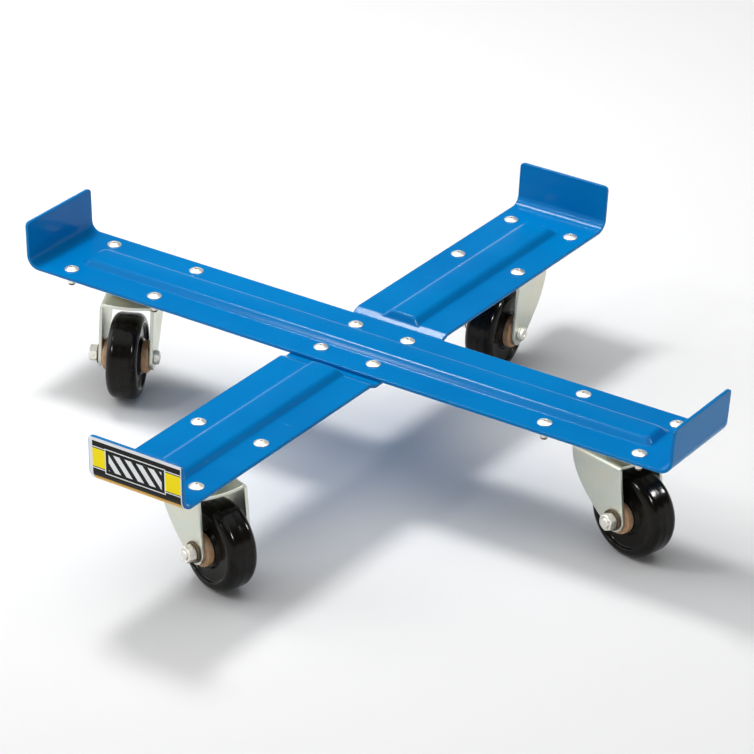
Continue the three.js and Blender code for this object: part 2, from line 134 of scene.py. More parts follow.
class DollyArmSizes(PropertyGroup):
    """The two pressed arms"""

    sheet: length("Sheet", 3 * MM, "Thickness of the steel sheet")
    edge: length("Edge radius", 0.5 * MM, "Rounding of the cut edges under the paint")
    bend: length("Bend radius", 9 * MM, "Inside radius of the bend into a flange")
    lean: angle("Flange lean", 3, "How far a flange leans outwards")
    corner: length("Flange corner", 4 * MM, "Radius of a flange's top corners")
    rib_foot: length("Rib foot", 35 * MM, "Width of the rib where it meets the deck")
    rib_top: length("Rib top", 24 * MM, "Width of the rib's flat top")
    rib_stop: length("Rib stop", 4 * MM, "How far short of the outermost rivets the rib's flat top ends")
    crease: length("Crease", 2.2 * MM, "Softness of the creases at the rib's top")
    foot_crease: length("Foot crease", 1.1 * MM, "Softness of the creases at the rib's foot")
    corner_crease: length("Corner crease", 7 * MM, "Softness of the rib's corners")
    crown: length("Crown", 0.45 * MM, "How far the rib's top falls from its middle to its creases")
    rib_start: length("Rib start", 13.7 * MM, "Flat top of the lower arm's ribs, beyond the upper arm's edge")
    rib_start_run: length("Rib start run", 4.5 * MM, "Run of the end wall there")
    landing_margin: length("Landing margin", 5 * MM, "Landing that shows on each side of the upper arm")
    ramp: length("Ramp", 8 * MM, "Length of the slope down to the landing")
    gap: length("Gap", 0.3 * MM, "Gap between the two arms at the crossing")


class DollyCasterSizes(PropertyGroup):
    """The four swivel casters"""

    sheet: length("Fork sheet", 3 * MM, "Thickness of the pressed fork")
    edge: length("Edge radius", 0.45 * MM, "Rounding of the cut edges")
    bend: length("Fork bend", 5 * MM, "Outside radius between crown and leg")
    leg_end: length("Leg end", 11 * MM, "Radius of a leg's round end")
    leg_front: length("Leg front", 19 * MM, "Front edge of a leg, ahead of the kingpin")
    leg_back: length("Leg back", 35 * MM, "Back edge of a leg, behind the kingpin")
    bulge: length("Crown bulge", 4 * MM, "How far the crown's free edge bows out")
    sweep: angle("Leg sweep", 34, "Slope of the front edge where it meets the round end")
    fullness: share("Leg fullness", 0.42, "How far the front edge bows out")
    plate_corner: length("Plate corner", 6 * MM, "Radius of a plate's corners")
    race_waist: length("Race waist", 2.5 * MM, "Depth of the groove between cup and cap")
    shoulder: length("Wheel shoulder", 7 * MM, "Radius between tread and side")
    recess: length("Wheel recess", 2.5 * MM, "Depth of the hollow in a wheel's side")
    hub_land: length("Hub land", 1.5 * MM, "Hub face that shows round its washer")
    kingpin: length("Kingpin", 5 * MM, "Radius of the rivet that a caster swivels about")
    kingpin_head: length("Kingpin head", 9 * MM, "Radius of its two heads")
    kingpin_washer: length("Kingpin washer", 2.5 * MM, "Thickness of the washer under the crown")
    sleeve_wall: length("Sleeve wall", 2 * MM, "Wall of the tube that the wheel turns on")
    steps: IntProperty(name="Wheel facets", description="Facets round a wheel", default=96, min=12)


class DollyFastenerSizes(PropertyGroup):
    """Deck rivets, axle bolts, nuts and washers"""

    rivet: length("Rivet", 6.4 * MM, "Diameter of a deck rivet's body")
    head: length("Head", 12.6 * MM, "Diameter of a deck rivet's dome")
    head_height: length("Head height", 2.8 * MM, "Height of a deck rivet's dome")
    mouth: length("Mouth", 1.5 * MM, "Radius of the hollow where the rivet's pin broke off")
    mouth_depth: length("Mouth depth", 0.8 * MM, "Depth of that hollow")
    bulge: length("Bulge", 8.4 * MM, "Diameter of the swelling below the sheets")
    bulge_height: length("Bulge height", 3 * MM, "Height of that swelling")
    tip: length("Tip", 2.2 * MM, "How much of the pin's round end shows below the body")
    shank: length("Shank", 8 * MM, "Diameter of the axle bolts")
    thread_past: length("Thread past", 1.1 * MM, "Thread that shows past the axle nut")
    thread_pitch: length("Thread pitch", 0.5 * MM, "Height of one ridge of that thread")
    axle_nut_flats: length("Axle nut flats", 13 * MM, "Width of the axle nut across its flats")
    axle_nut_height: length("Axle nut height", 7 * MM, "Height of the axle nut")
    axle_head: length("Axle head", 12.5 * MM, "Diameter of the axle bolt's head")
    axle_head_height: length("Axle head height", 4.5 * MM, "Height of the axle bolt's head")
    collar: length("Collar", 18 * MM, "Diameter of the flat washer under the axle nut")
    collar_height: length("Collar height", 1.6 * MM, "Thickness of that washer")


class DollyLabelSizes(PropertyGroup):
    """The plain striped label on one flange. Heights are from the start of the bend"""

    wrap: angle("Wrap", 50, "How far the label's lower end follows the bend")
    gap: length("Glue line", 0.1 * MM, "Gap between the label and the flange")
    thickness: length("Thickness", 0.4 * MM, "Thickness of the film")
    top_inset: length("Top inset", 0.4 * MM, "From the flange's top edge to the label's")
    border: length("Border", 0.8 * MM, "Width of the pale border at the right")
    border_left: length("Left border", 3.2 * MM, "Width of the pale border at the left")
    border_top: length("Top border", 2.6 * MM, "Width of the pale border at the top")
    band_low: length("Band bottom", 4.6 * MM, "Bottom of the yellow band")
    band_high: length("Band top", 21 * MM, "Top of the yellow band")
    line: length("Line", 0.9 * MM, "Width of the thin lines beside the band")
    line_gap: length("Line gap", 0.8 * MM, "Distance from the band to a line")
    block: length("Block", 28 * MM, "Half length of the striped block in the middle")
    block_low: length("Block bottom", 1.5 * MM, "Bottom of the striped block")
    block_high: length("Block top", 22.5 * MM, "Top of the striped block")
    stripe: length("Stripe pitch", 11 * MM, "Pitch of the slanting stripes")
    strip: length("Strip", 4.2 * MM, "Depth below the bend's start at which the amber strip begins")


class DollyFinishes(PropertyGroup):
    """Colours"""

    paint: colour("Paint", (0.0, 0.19, 0.50), "Blue powder coat")
    paint_deep: colour("Deep paint", (0.0, 0.165, 0.455), "Blue where the coat is thicker")
    paint_scratched: colour("Scratched paint", (0.03, 0.24, 0.56), "Blue where it is scratched")
    zinc: colour("Zinc", (0.60, 0.64, 0.57), "Zinc plating on the pressed parts")
    zinc_warm: colour("Warm zinc", (0.66, 0.65, 0.55), "Zinc where the passivation is yellower")
    zinc_scratched: colour("Scratched zinc", (0.78, 0.79, 0.74), "Zinc where it is scratched")
    bright_zinc: colour("Bright zinc", (0.88, 0.86, 0.80), "Plating on the fasteners")
    bright_zinc_worn: colour("Worn zinc", (0.70, 0.67, 0.60), "Plating where it is rubbed")
    wheel: colour("Wheel", (0.003, 0.0026, 0.0022), "Moulded black wheel")
    wheel_worn: colour("Worn wheel", (0.012, 0.010, 0.008), "Wheel where it has rolled")
    washer: colour("Washer", (0.40, 0.21, 0.10), "Brown fibre")
    washer_pale: colour("Pale fibre", (0.56, 0.34, 0.18), "Fibres that show in it")
    # The pin colour also darkens the washers under the axle nuts, as painted shade behind the nuts.
    pin: colour("Pin", (0.16, 0.12, 0.08), "Steel pin in the middle of a deck rivet")
    label_black: colour("Label black", (0.008, 0.007, 0.007), "Ground of the label")
    label_yellow: colour("Label yellow", (1.0, 0.80, 0.0), "Band of the label")
    label_amber: colour("Label amber", (0.62, 0.34, 0.02), "Strip at the foot of the label")
    label_pale: colour("Label pale", (0.80, 0.82, 0.84), "Border and lines of the label")
    label_scratched: colour("Scratched label", (0.5, 0.5, 0.5), "Film where it is scratched")
    floor: colour("Floor", (0.84, 0.84, 0.84), "Studio floor")


class DollyStageSizes(PropertyGroup):
    """Camera and lights"""

    azimuth: angle("Azimuth", 32.62, "Camera direction, from straight in front towards +X")
    elevation: angle("Elevation", 27.24, "Camera height as an angle")
    roll: angle("Roll", 1.725, "Turn of the camera about its own axis")
    distance: length("Distance", 3.3502, "From the camera to the point it looks at")
    lens: FloatProperty(name="Lens", description="Focal length in millimetres", default=191.9, min=1)
    aim: FloatVectorProperty(
        name="Aim", description="Point the camera looks at", default=(0.01339, 0, 0.07744), subtype="XYZ"
    )
    overhead: number("Overhead", 15.5, "Power of the softbox above")
    key: number("Key", 2.5, "Power of the compact light at the left")
    window: number("Window", 14, "Power of each small side light, which only makes highlights")
    walls: share("Walls", 0.95, "Brightness of the room's walls, low down")
    dim: share("Dim", 0.05, "Brightness of the room above its walls")
    ceiling: number("Ceiling", 1.25, "Brightness of the ceiling")
    patch: number("Patch", 3, "Brightness of the pale patch at the left")


SETTINGS = {
    "arm": DollyArmSizes,
    "caster": DollyCasterSizes,
    "fastener": DollyFastenerSizes,
    "label": DollyLabelSizes,
    "finish": DollyFinishes,
    "stage": DollyStageSizes,
}


class DollySettings(PropertyGroup):
    """All the sizes and colours that a user would change"""

    arm: PointerProperty(type=DollyArmSizes)
    caster: PointerProperty(type=DollyCasterSizes)
    fastener: PointerProperty(type=DollyFastenerSizes)
    label: PointerProperty(type=DollyLabelSizes)
    finish: PointerProperty(type=DollyFinishes)
    stage: PointerProperty(type=DollyStageSizes)


# ---------------------------------------------------------------- meshes


def finished_mesh(name, bm, sharp_degrees=35):
    """Mesh from a closed bmesh: faces out, smooth but for edges sharper than the angle."""
    bmesh.ops.recalc_face_normals(bm, faces=bm.faces)
    mesh = bpy.data.meshes.new(name)
    bm.to_mesh(mesh)
    bm.free()
    mesh.shade_smooth()
    mesh.set_sharp_from_angle(angle=radians(sharp_degrees))
    return mesh


def strip_faces(bm, first, second, closed):
    """Quads between two equally long rows of vertices."""
    count = len(first)
    for i in range(count if closed else count - 1):
        j = (i + 1) % count
        bm.faces.new((first[i], first[j], second[j], second[i]))


def rim_places(count, width):
    """Grid places round the edge of a grid, in order."""
    return (
        [(0, j) for j in range(width - 1)]
        + [(i, width - 1) for i in range(count - 1)]
        + [(count - 1, j) for j in range(width - 1, 0, -1)]
        + [(i, 0) for i in range(count - 1, 0, -1)]
    )


def rim_outward(rows, rim, k):
    """Direction in the sheet, square to its edge, that points off it."""
    (i, j), (bi, bj), (ai, aj) = rim[k], rim[k - 1], rim[(k + 1) % len(rim)]
    point, normal = rows[i][j]
    outward = (rows[ai][aj][0] - rows[bi][bj][0]).normalized().cross(normal).normalized()
    inner_i = min(max(i, 1), len(rows) - 2)
    inner_j = min(max(j, 1), len(rows[0]) - 2)
    return outward if outward.dot(point - rows[inner_i][inner_j][0]) > 0 else -outward


def sheet_mesh(name, rows, thickness, edge):
    """Closed sheet with rounded edges. rows is a grid of (point, normal) on the side that shows."""
    bm = bmesh.new()
    count, width = len(rows), len(rows[0])
    rim = rim_places(count, width)
    outward = {place: rim_outward(rows, rim, k) for k, place in enumerate(rim)}

    def layer(depth):
        grid = []
        for i, row in enumerate(rows):
            places = [
                point - normal * depth - outward.get((i, j), Vector()) * edge
                for j, (point, normal) in enumerate(row)
            ]
            grid.append([bm.verts.new(place) for place in places])
        return grid

    def ring(inset, depth):
        verts = []
        for i, j in rim:
            point, normal = rows[i][j]
            verts.append(bm.verts.new(point - normal * depth - outward[i, j] * inset))
        return verts

    top, bottom = layer(0), layer(thickness)
    for grid in (top, bottom):
        for first, second in zip(grid, grid[1:]):
            strip_faces(bm, first, second, closed=False)
    turns = [(edge * (1 - sin(turn)), edge * (1 - cos(turn))) for turn in (pi / 6, pi / 3, pi / 2)]
    rings = [[top[i][j] for i, j in rim]]
    rings += [ring(inset, depth) for inset, depth in turns]
    rings += [ring(inset, thickness - depth) for inset, depth in reversed(turns)]
    rings.append([bottom[i][j] for i, j in rim])
    for first, second in zip(rings, rings[1:]):
        strip_faces(bm, first, second, closed=True)
    return finished_mesh(name, bm, sharp_degrees=60)


def rounded_outline(corners, closed=False, steps=4):
    """Points through corners given as (u, v, radius), each rounded by its radius."""
    points = []
    count = len(corners)
    for k, (u, v, radius) in enumerate(corners):
        here = Vector((u, v))
        if radius == 0 or (not closed and k in (0, count - 1)):
            points.append(here)
            continue
        before = (Vector(corners[k - 1][:2]) - here).normalized()
        after = (Vector(corners[(k + 1) % count][:2]) - here).normalized()
        half = before.angle(after) / 2
        centre = here + (before + after).normalized() * (radius / sin(half))
        start = here + before * (radius * cos(half) / sin(half)) - centre
        end = here + after * (radius * cos(half) / sin(half)) - centre
        turn = atan2(start.x * end.y - start.y * end.x, start.dot(end))
        for step in range(steps + 1):
            part = turn * step / steps
            c, s = cos(part), sin(part)
            points.append(centre + Vector((start.x * c - start.y * s, start.x * s + start.y * c)))
    return points


def turned_mesh(name, corners, steps, closed=False, axis="Z", rounding=4):
    """Profile of (radius, along, rounding) turned about the axis. An open one starts and ends on it."""
    bm = bmesh.new()
    rings = []
    for radius, along in rounded_outline(corners, closed, rounding):
        if radius < 1e-7:
            rings.append([bm.verts.new((0, 0, along))] * steps)
            continue
        angles = [2 * pi * i / steps for i in range(steps)]
        rings.append([bm.verts.new((radius * cos(a), radius * sin(a), along)) for a in angles])
    for first, second in zip(rings, rings[1:] + rings[:1] if closed else rings[1:]):
        for i in range(steps):
            j = (i + 1) % steps
            corners_of_face = dict.fromkeys((first[i], first[j], second[j], second[i]))
            if len(corners_of_face) > 2:
                bm.faces.new(tuple(corners_of_face))
    if axis == "Y":
        bmesh.ops.rotate(bm, verts=bm.verts, cent=(0, 0, 0), matrix=Matrix.Rotation(-pi / 2, 3, "X"))
    return finished_mesh(name, bm)


def nut_mesh(name, flats, height, bore):
    """Hexagon nut from y = 0 along the axle, with the corners of both faces turned off to a cone."""
    bm = bmesh.new()
    steps = 6 * 8
    face_radius = flats * 0.47
    drop_rate = 0.58  # the cone's fall for each unit outwards
    rings = []

    def ring(radius_at, height_at):
        verts = []
        for i in range(steps):
            a = 2 * pi * i / steps
            radius = radius_at(a)
            verts.append(bm.verts.new((radius * cos(a), radius * sin(a), height_at(radius))))
        rings.append(verts)

    def hexagon(a):
        return flats / 2 / cos((a + pi / 6) % (pi / 3) - pi / 6)

    lead = bore * 0.1
    ring(lambda a: bore / 2, lambda r: lead)
    ring(lambda a: bore / 2 + lead, lambda r: 0)
    ring(lambda a: face_radius, lambda r: 0)
    ring(hexagon, lambda r: (r - face_radius) * drop_rate)
    ring(hexagon, lambda r: height - (r - face_radius) * drop_rate)
    ring(lambda a: face_radius, lambda r: height)
    ring(lambda a: bore / 2 + lead, lambda r: height)
    ring(lambda a: bore / 2, lambda r: height - lead)
    for first, second in zip(rings, rings[1:] + rings[:1]):
        strip_faces(bm, first, second, closed=True)
    bmesh.ops.rotate(bm, verts=bm.verts, cent=(0, 0, 0), matrix=Matrix.Rotation(-pi / 2, 3, "X"))
    return finished_mesh(name, bm, sharp_degrees=22)


def add_piece(name, mesh, material, body, nodes=(), matrix=None):
    """A piece that rides on a body, takes its finish from a slot and stands for CAD nodes."""
    if not mesh.materials:
        mesh.materials.append(material)
    piece = bpy.data.objects.new(name, mesh)
    bpy.context.scene.collection.objects.link(piece)
    piece.matrix_world = matrix or Matrix.Identity(4)
    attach(piece, body)
    if nodes:
        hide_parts(*nodes)
    return piece


# ---------------------------------------------------------------- arms


def soft_min(a, b, softness):
    return min(a, b) - max(softness - abs(a - b), 0) ** 2 / (4 * softness)


def soft_max(a, b, softness):
    return -soft_min(-a, -b, softness)


def spread(start, end, count):
    return [start + (end - start) * i / (count - 1) for i in range(count)]


def merged(values, least):
    """Values in order, without those nearer than least to the one before."""
    kept = []
    for value in sorted(values):
        if not kept or value - kept[-1] > least:
            kept.append(value)
    return kept


class ArmShape:
    """The surface of one arm, in a frame with the arm along x."""

    def __init__(self, sizes, arm, stepped):
        low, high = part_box(arm)
        along, across = (1, 0) if stepped else (0, 1)
        self.sizes = sizes
        self.stepped = stepped
        self.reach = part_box("upper_arm")[1].x
        self.half = high[across]
        self.top = high.z
        self.deck = DECK_LOW + sizes.sheet
        self.rib_height = MOUNTS["crossing_rest"]["pos_m"][2] - self.deck
        self.slope = (sizes.rib_foot - sizes.rib_top) / 2 / self.rib_height
        rivet = "back_plate_rivet_" if stepped else "right_plate_rivet_"
        outermost = max(node_middle(f"{rivet}{i}")[along] for i in range(1, 5))
        self.rib_end = outermost - sizes.rib_stop
        self.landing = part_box("upper_arm")[1].y + sizes.landing_margin
        self.drop = sizes.sheet + sizes.gap
        self.rib_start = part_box("upper_arm")[1].y + sizes.rib_start
        self.start_slope = sizes.rib_start_run / (self.rib_height + self.drop)
        flat_height = self.top - self.deck - sizes.bend * (1 - sin(sizes.lean))
        self.flat = flat_height / cos(sizes.lean)
        outside = (sizes.bend + sizes.sheet) * cos(sizes.lean)
        self.bend_at = self.reach - outside - self.flat * sin(sizes.lean)

    def height(self, x, y):
        """Height of the upper side over the deck."""
        sizes = self.sizes
        x, y = abs(x), abs(y)
        side = (sizes.rib_foot / 2 - y) / self.slope
        end = (self.rib_end - x) / self.slope + self.rib_height
        wall = soft_min(side, end, sizes.corner_crease)
        base = 0
        if self.stepped:
            start = (x - self.rib_start) / self.start_slope + self.rib_height
            wall = soft_min(wall, start, sizes.crease)
            ramp = (x - self.landing) / sizes.ramp * self.drop - self.drop
            base = soft_max(soft_min(ramp, 0, sizes.foot_crease / 2), -self.drop, sizes.foot_crease / 2)
        top = self.rib_height - sizes.crown * min(y / (sizes.rib_top / 2), 1.5) ** 2
        rib = soft_min(top, wall, sizes.crease)
        return soft_max(base, rib, sizes.foot_crease)

    def surface(self, x, y):
        """Point and normal on the upper side of the strip between the bends."""
        step = 0.02 * MM
        rise_x = (self.height(x + step, y) - self.height(x - step, y)) / (2 * step)
        rise_y = (self.height(x, y + step) - self.height(x, y - step)) / (2 * step)
        point = Vector((x, y, self.deck + self.height(x, y)))
        return point, Vector((-rise_x, -rise_y, 1)).normalized()

    def columns(self):
        """Places across the arm: close together at the creases and beside the edges."""
        sizes = self.sizes
        foot, top = sizes.rib_foot / 2, sizes.rib_top / 2
        half = (
            [0, top / 4, top / 2, top * 0.7]
            + spread(top - 2.6 * MM, top + 2 * MM, 10)
            + spread(foot - 2 * MM, foot + 2 * MM, 9)
            + [foot + 4.5 * MM, (foot + self.half) / 2, self.half - 4 * MM, self.half - 1.3 * MM, self.half]
        )
        half = merged(half, 0.3 * MM)
        return [-y for y in reversed(half[1:])] + half

    def places_along(self):
        """Places along the flat strip, from the middle to the bend."""
        sizes = self.sizes
        end = self.rib_end + self.slope * self.rib_height
        places = [0, self.landing / 2, 0.4 * self.reach, 0.6 * self.reach]
        places += spread(self.rib_end - 5 * MM, end + 3 * MM, 24)
        places += [self.bend_at - 9 * MM, self.bend_at - 1.5 * MM, self.bend_at]
        if self.stepped:
            places += spread(self.landing - 3 * MM, self.landing + 15 * MM, 34)
        return merged(places, 0.3 * MM)

    def flange_rows(self):
        """Bend and flange: (x, z, normal, half width) up to the top edge."""
        sizes = self.sizes
        turns = 12
        rows = []
        for i in range(1, turns + 1):
            a = (pi / 2 - sizes.lean) * i / turns
            x = self.bend_at + sizes.bend * sin(a)
            z = self.deck + sizes.bend * (1 - cos(a))
            rows.append((x, z, Vector((-sin(a), 0, cos(a))), self.half))
        x, z, normal, _ = rows[-1]
        up = Vector((normal.z, 0, -normal.x))
        corner = self.flat - sizes.corner
        risen = [(1.5 * MM, 0), (self.flat / 2, 0), (corner - 2 * MM, 0)]
        for degrees in (0, 18, 36, 54, 90):
            turn = radians(degrees)
            risen.append((corner + sizes.corner * sin(turn), sizes.corner * (1 - cos(turn))))
        rows += [(x + up.x * rise, z + up.z * rise, normal, self.half - inset) for rise, inset in risen]
        return rows

    def grid(self):
        columns = self.columns()
        outer = [
            [(Vector((x, y * width / self.half, z)), normal) for y in columns]
            for x, z, normal, width in self.flange_rows()
        ]
        middle = [[self.surface(x, y) for y in columns] for x in self.places_along()]
        right = middle + outer

        def mirrored(row):
            return [(Vector((-p.x, p.y, p.z)), Vector((-n.x, n.y, n.z))) for p, n in row]

        return [mirrored(row) for row in reversed(right[1:])] + right


def build_arm(settings, name, stepped):
    sizes = settings.arm
    shape = ArmShape(sizes, name, stepped)
    mesh = sheet_mesh(name + "_pressing", shape.grid(), sizes.sheet, sizes.edge)
    if stepped:
        mesh.transform(Matrix.Rotation(pi / 2, 4, "Z"))
    add_piece(name + "_pressing", mesh, paint_material(settings), "frame", [name])


# ---------------------------------------------------------------- deck rivets


def rivet_body_corners(sizes, tail):
    """A set blind rivet: dome with the hollow in its middle, shank and swollen tail."""
    radius, height = sizes.head / 2, sizes.head_height
    swell = height * 0.8
    ball = (radius**2 + swell**2) / (2 * swell)
    centre = height - ball
    rise = sqrt(ball**2 - sizes.mouth**2) + centre
    corners = [
        (0, rise - sizes.mouth_depth, 0),
        (sizes.mouth - 0.1 * MM, rise - sizes.mouth_depth, 0.2 * MM),
        (sizes.mouth, rise, 0.2 * MM),
    ]
    for part in (0.45, 0.62, 0.76, 0.88):
        r = radius * part
        corners.append((r, sqrt(ball**2 - r**2) + centre, 0))
    shank, bulge = sizes.rivet / 2, sizes.bulge / 2
    grip, end = tail
    return corners + [
        (radius - 0.05 * MM, height * 0.22, 0.35 * MM),
        (radius - 0.05 * MM, 0.02 * MM, 0.15 * MM),
        (shank, 0.02 * MM, 0),
        (shank, grip, 0.1 * MM),
        (bulge, grip, 0.5 * MM),
        (bulge, grip - sizes.bulge_height, 1.2 * MM),
        (shank, grip - sizes.bulge_height - 0.5 * MM, 0.6 * MM),
        (shank - 0.1 * MM, end + sizes.tip, 0.3 * MM),
        (0, end + sizes.tip, 0),
    ]


def rivet_pin_corners(sizes, end):
    """The steel pin: its broken stub in the dome and its round end below the body."""
    stub = sizes.head_height - sizes.mouth_depth
    neck, ball = sizes.mouth * 0.8, sizes.rivet / 2 - 0.3 * MM
    return [
        (0, stub + 0.25 * MM, 0),
        (neck * 0.7, stub + 0.3 * MM, 0.1 * MM),
        (neck, stub + 0.05 * MM, 0.1 * MM),
        (neck, end + sizes.tip + 0.2 * MM, 0),
        (ball, end + sizes.tip - 0.05 * MM, 0.2 * MM),
        (ball, end + 0.9 * MM, 0.8 * MM),
        (ball * 0.6, end, 0.9 * MM),
        (0, end, 0),
    ]


def build_deck_rivets(settings, names):
    """Blind rivets with the pins left in them. Those that hold the same stack share their meshes."""
    sizes = settings.fastener
    plating, steel = fastener_material(settings), pin_and_shade_material(settings)
    meshes = {}
    for name in names:
        low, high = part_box(name)
        seat = high.z - sizes.head_height
        end = low.z - seat
        key = round(-end / (0.1 * MM))
        if key not in meshes:
            below = settings.arm.sheet + settings.arm.gap
            if "plate" in name:
                below = node_size("left_top_plate").z
            grip = -settings.arm.sheet - below
            body = turned_mesh(f"rivet_{key}", rivet_body_corners(sizes, (grip, end)), 40, rounding=3)
            pin = turned_mesh(f"rivet_pin_{key}", rivet_pin_corners(sizes, end), 28, rounding=3)
            meshes[key] = body, pin
        body, pin = meshes[key]
        middle = node_middle(name)
        turn = Matrix.Rotation(golden_turn(middle.x * 1000 + middle.y * 700), 4, "Z")
        place = Matrix.Translation((middle.x, middle.y, seat)) @ turn
        add_piece(name + "_body", body, plating, "frame", [name], place)
        add_piece(name + "_pin", pin, steel, "frame", (), place)


def golden_turn(seed):
    """An angle that looks chosen at random and is the same each time."""
    golden_angle = 2.399963
    return (seed * golden_angle) % (2 * pi)


# ---------------------------------------------------------------- casters


def plate_rows(half_x, half_y, corner, z):
    """Grid of a flat rounded rectangle facing up."""
    ends = [(half_x - 3 * corner, half_y), (half_x - 1.5 * corner, half_y)]
    for degrees in (0, 15, 30, 46, 62, 90):
        turn = radians(degrees)
        inset = corner * (1 - cos(turn))
        ends.append((half_x - corner + corner * sin(turn), half_y - inset))
    rows = [(0, half_y)] + ends
    rows = [(-x, half) for x, half in reversed(ends)] + rows
    shares = (-1, -0.97, -0.8, -0.4, 0, 0.4, 0.8, 0.97, 1)
    return [[(Vector((x, half * part, z)), Z) for part in shares] for x, half in rows]


def build_plates(settings):
    """Top plates of the casters: rounded pressed plates, with their swivel race and rivet."""
    sizes = settings.caster
    size = node_size("right_top_plate")
    rows = plate_rows(size.x / 2, size.y / 2, sizes.plate_corner, size.z / 2)
    plate = sheet_mesh("caster_plate", rows, size.z, sizes.edge)
    race = race_mesh(settings)
    rivet = rivet_mesh(settings)
    material = zinc_material(settings)
    for side in SIDES:
        middle = node_middle(f"{side}_top_plate")
        turn = Matrix.Rotation(pi / 2 if side in ("front", "back") else 0, 4, "Z")
        place = Matrix.Translation(middle) @ turn
        add_piece(f"{side}_caster_plate", plate, material, "frame", [f"{side}_top_plate"], place)
        pin = Matrix.Translation((middle.x, middle.y, 0))
        add_piece(f"{side}_swivel_race", race, material, "frame", [f"{side}_ball_race"], pin)
        add_piece(f"{side}_swivel_rivet", rivet, material, "frame", [f"{side}_kingpin"], pin)


def race_mesh(settings):
    """Cup and cap of the swivel bearing, with the groove between them."""
    sizes = settings.caster
    low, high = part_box("left_ball_race")
    radius = (high.x - low.x) / 2
    middle = (low.z + high.z) / 2
    inside = sizes.kingpin - 0.2 * MM
    corners = [
        (inside, low.z, 0.2 * MM),
        (radius - 4 * MM, low.z, 2 * MM),
        (radius, low.z + 3.2 * MM, 1.2 * MM),
        (radius, middle - 0.4 * MM, 0.3 * MM),
        (radius - sizes.race_waist, middle, 0.25 * MM),
        (radius - sizes.race_waist, middle + 0.9 * MM, 0.25 * MM),
        (radius - 0.8 * MM, middle + 1.3 * MM, 0.4 * MM),
        (radius, high.z, 0.15 * MM),
        (inside, high.z, 0.2 * MM),
    ]
    return turned_mesh("swivel_race", corners, 64, closed=True, rounding=3)


def rivet_mesh(settings):
    """Swivel rivet: washer and spun head under the fork's crown, shank, and head in the plate."""
    sizes = settings.caster
    low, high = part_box("left_kingpin")
    under = CROWN_TOP - sizes.sheet - CLEAR
    washer = (high.x - low.x) / 2
    shank, head = sizes.kingpin, sizes.kingpin_head
    washer_low = under - sizes.kingpin_washer
    corners = [
        (0, low.z + 0.1 * MM, 0),
        (shank * 0.5, low.z + 0.1 * MM, 0.8 * MM),
        (head - 1.5 * MM, low.z + 1.1 * MM, 1.2 * MM),
        (head, washer_low, 0.2 * MM),
        (washer, washer_low, 0.5 * MM),
        (washer, under, 0.5 * MM),
        (shank, under, 0.1 * MM),
        (shank, PLATE_HIGH, 0.1 * MM),
        (head, PLATE_HIGH, 0.3 * MM),
        (head - 1.5 * MM, high.z - 1.2 * MM, 1.2 * MM),
        (shank * 0.5, high.z - 0.1 * MM, 0.8 * MM),
        (0, high.z - 0.1 * MM, 0),
    ]
    return turned_mesh("swivel_rivet", corners, 40, rounding=3)


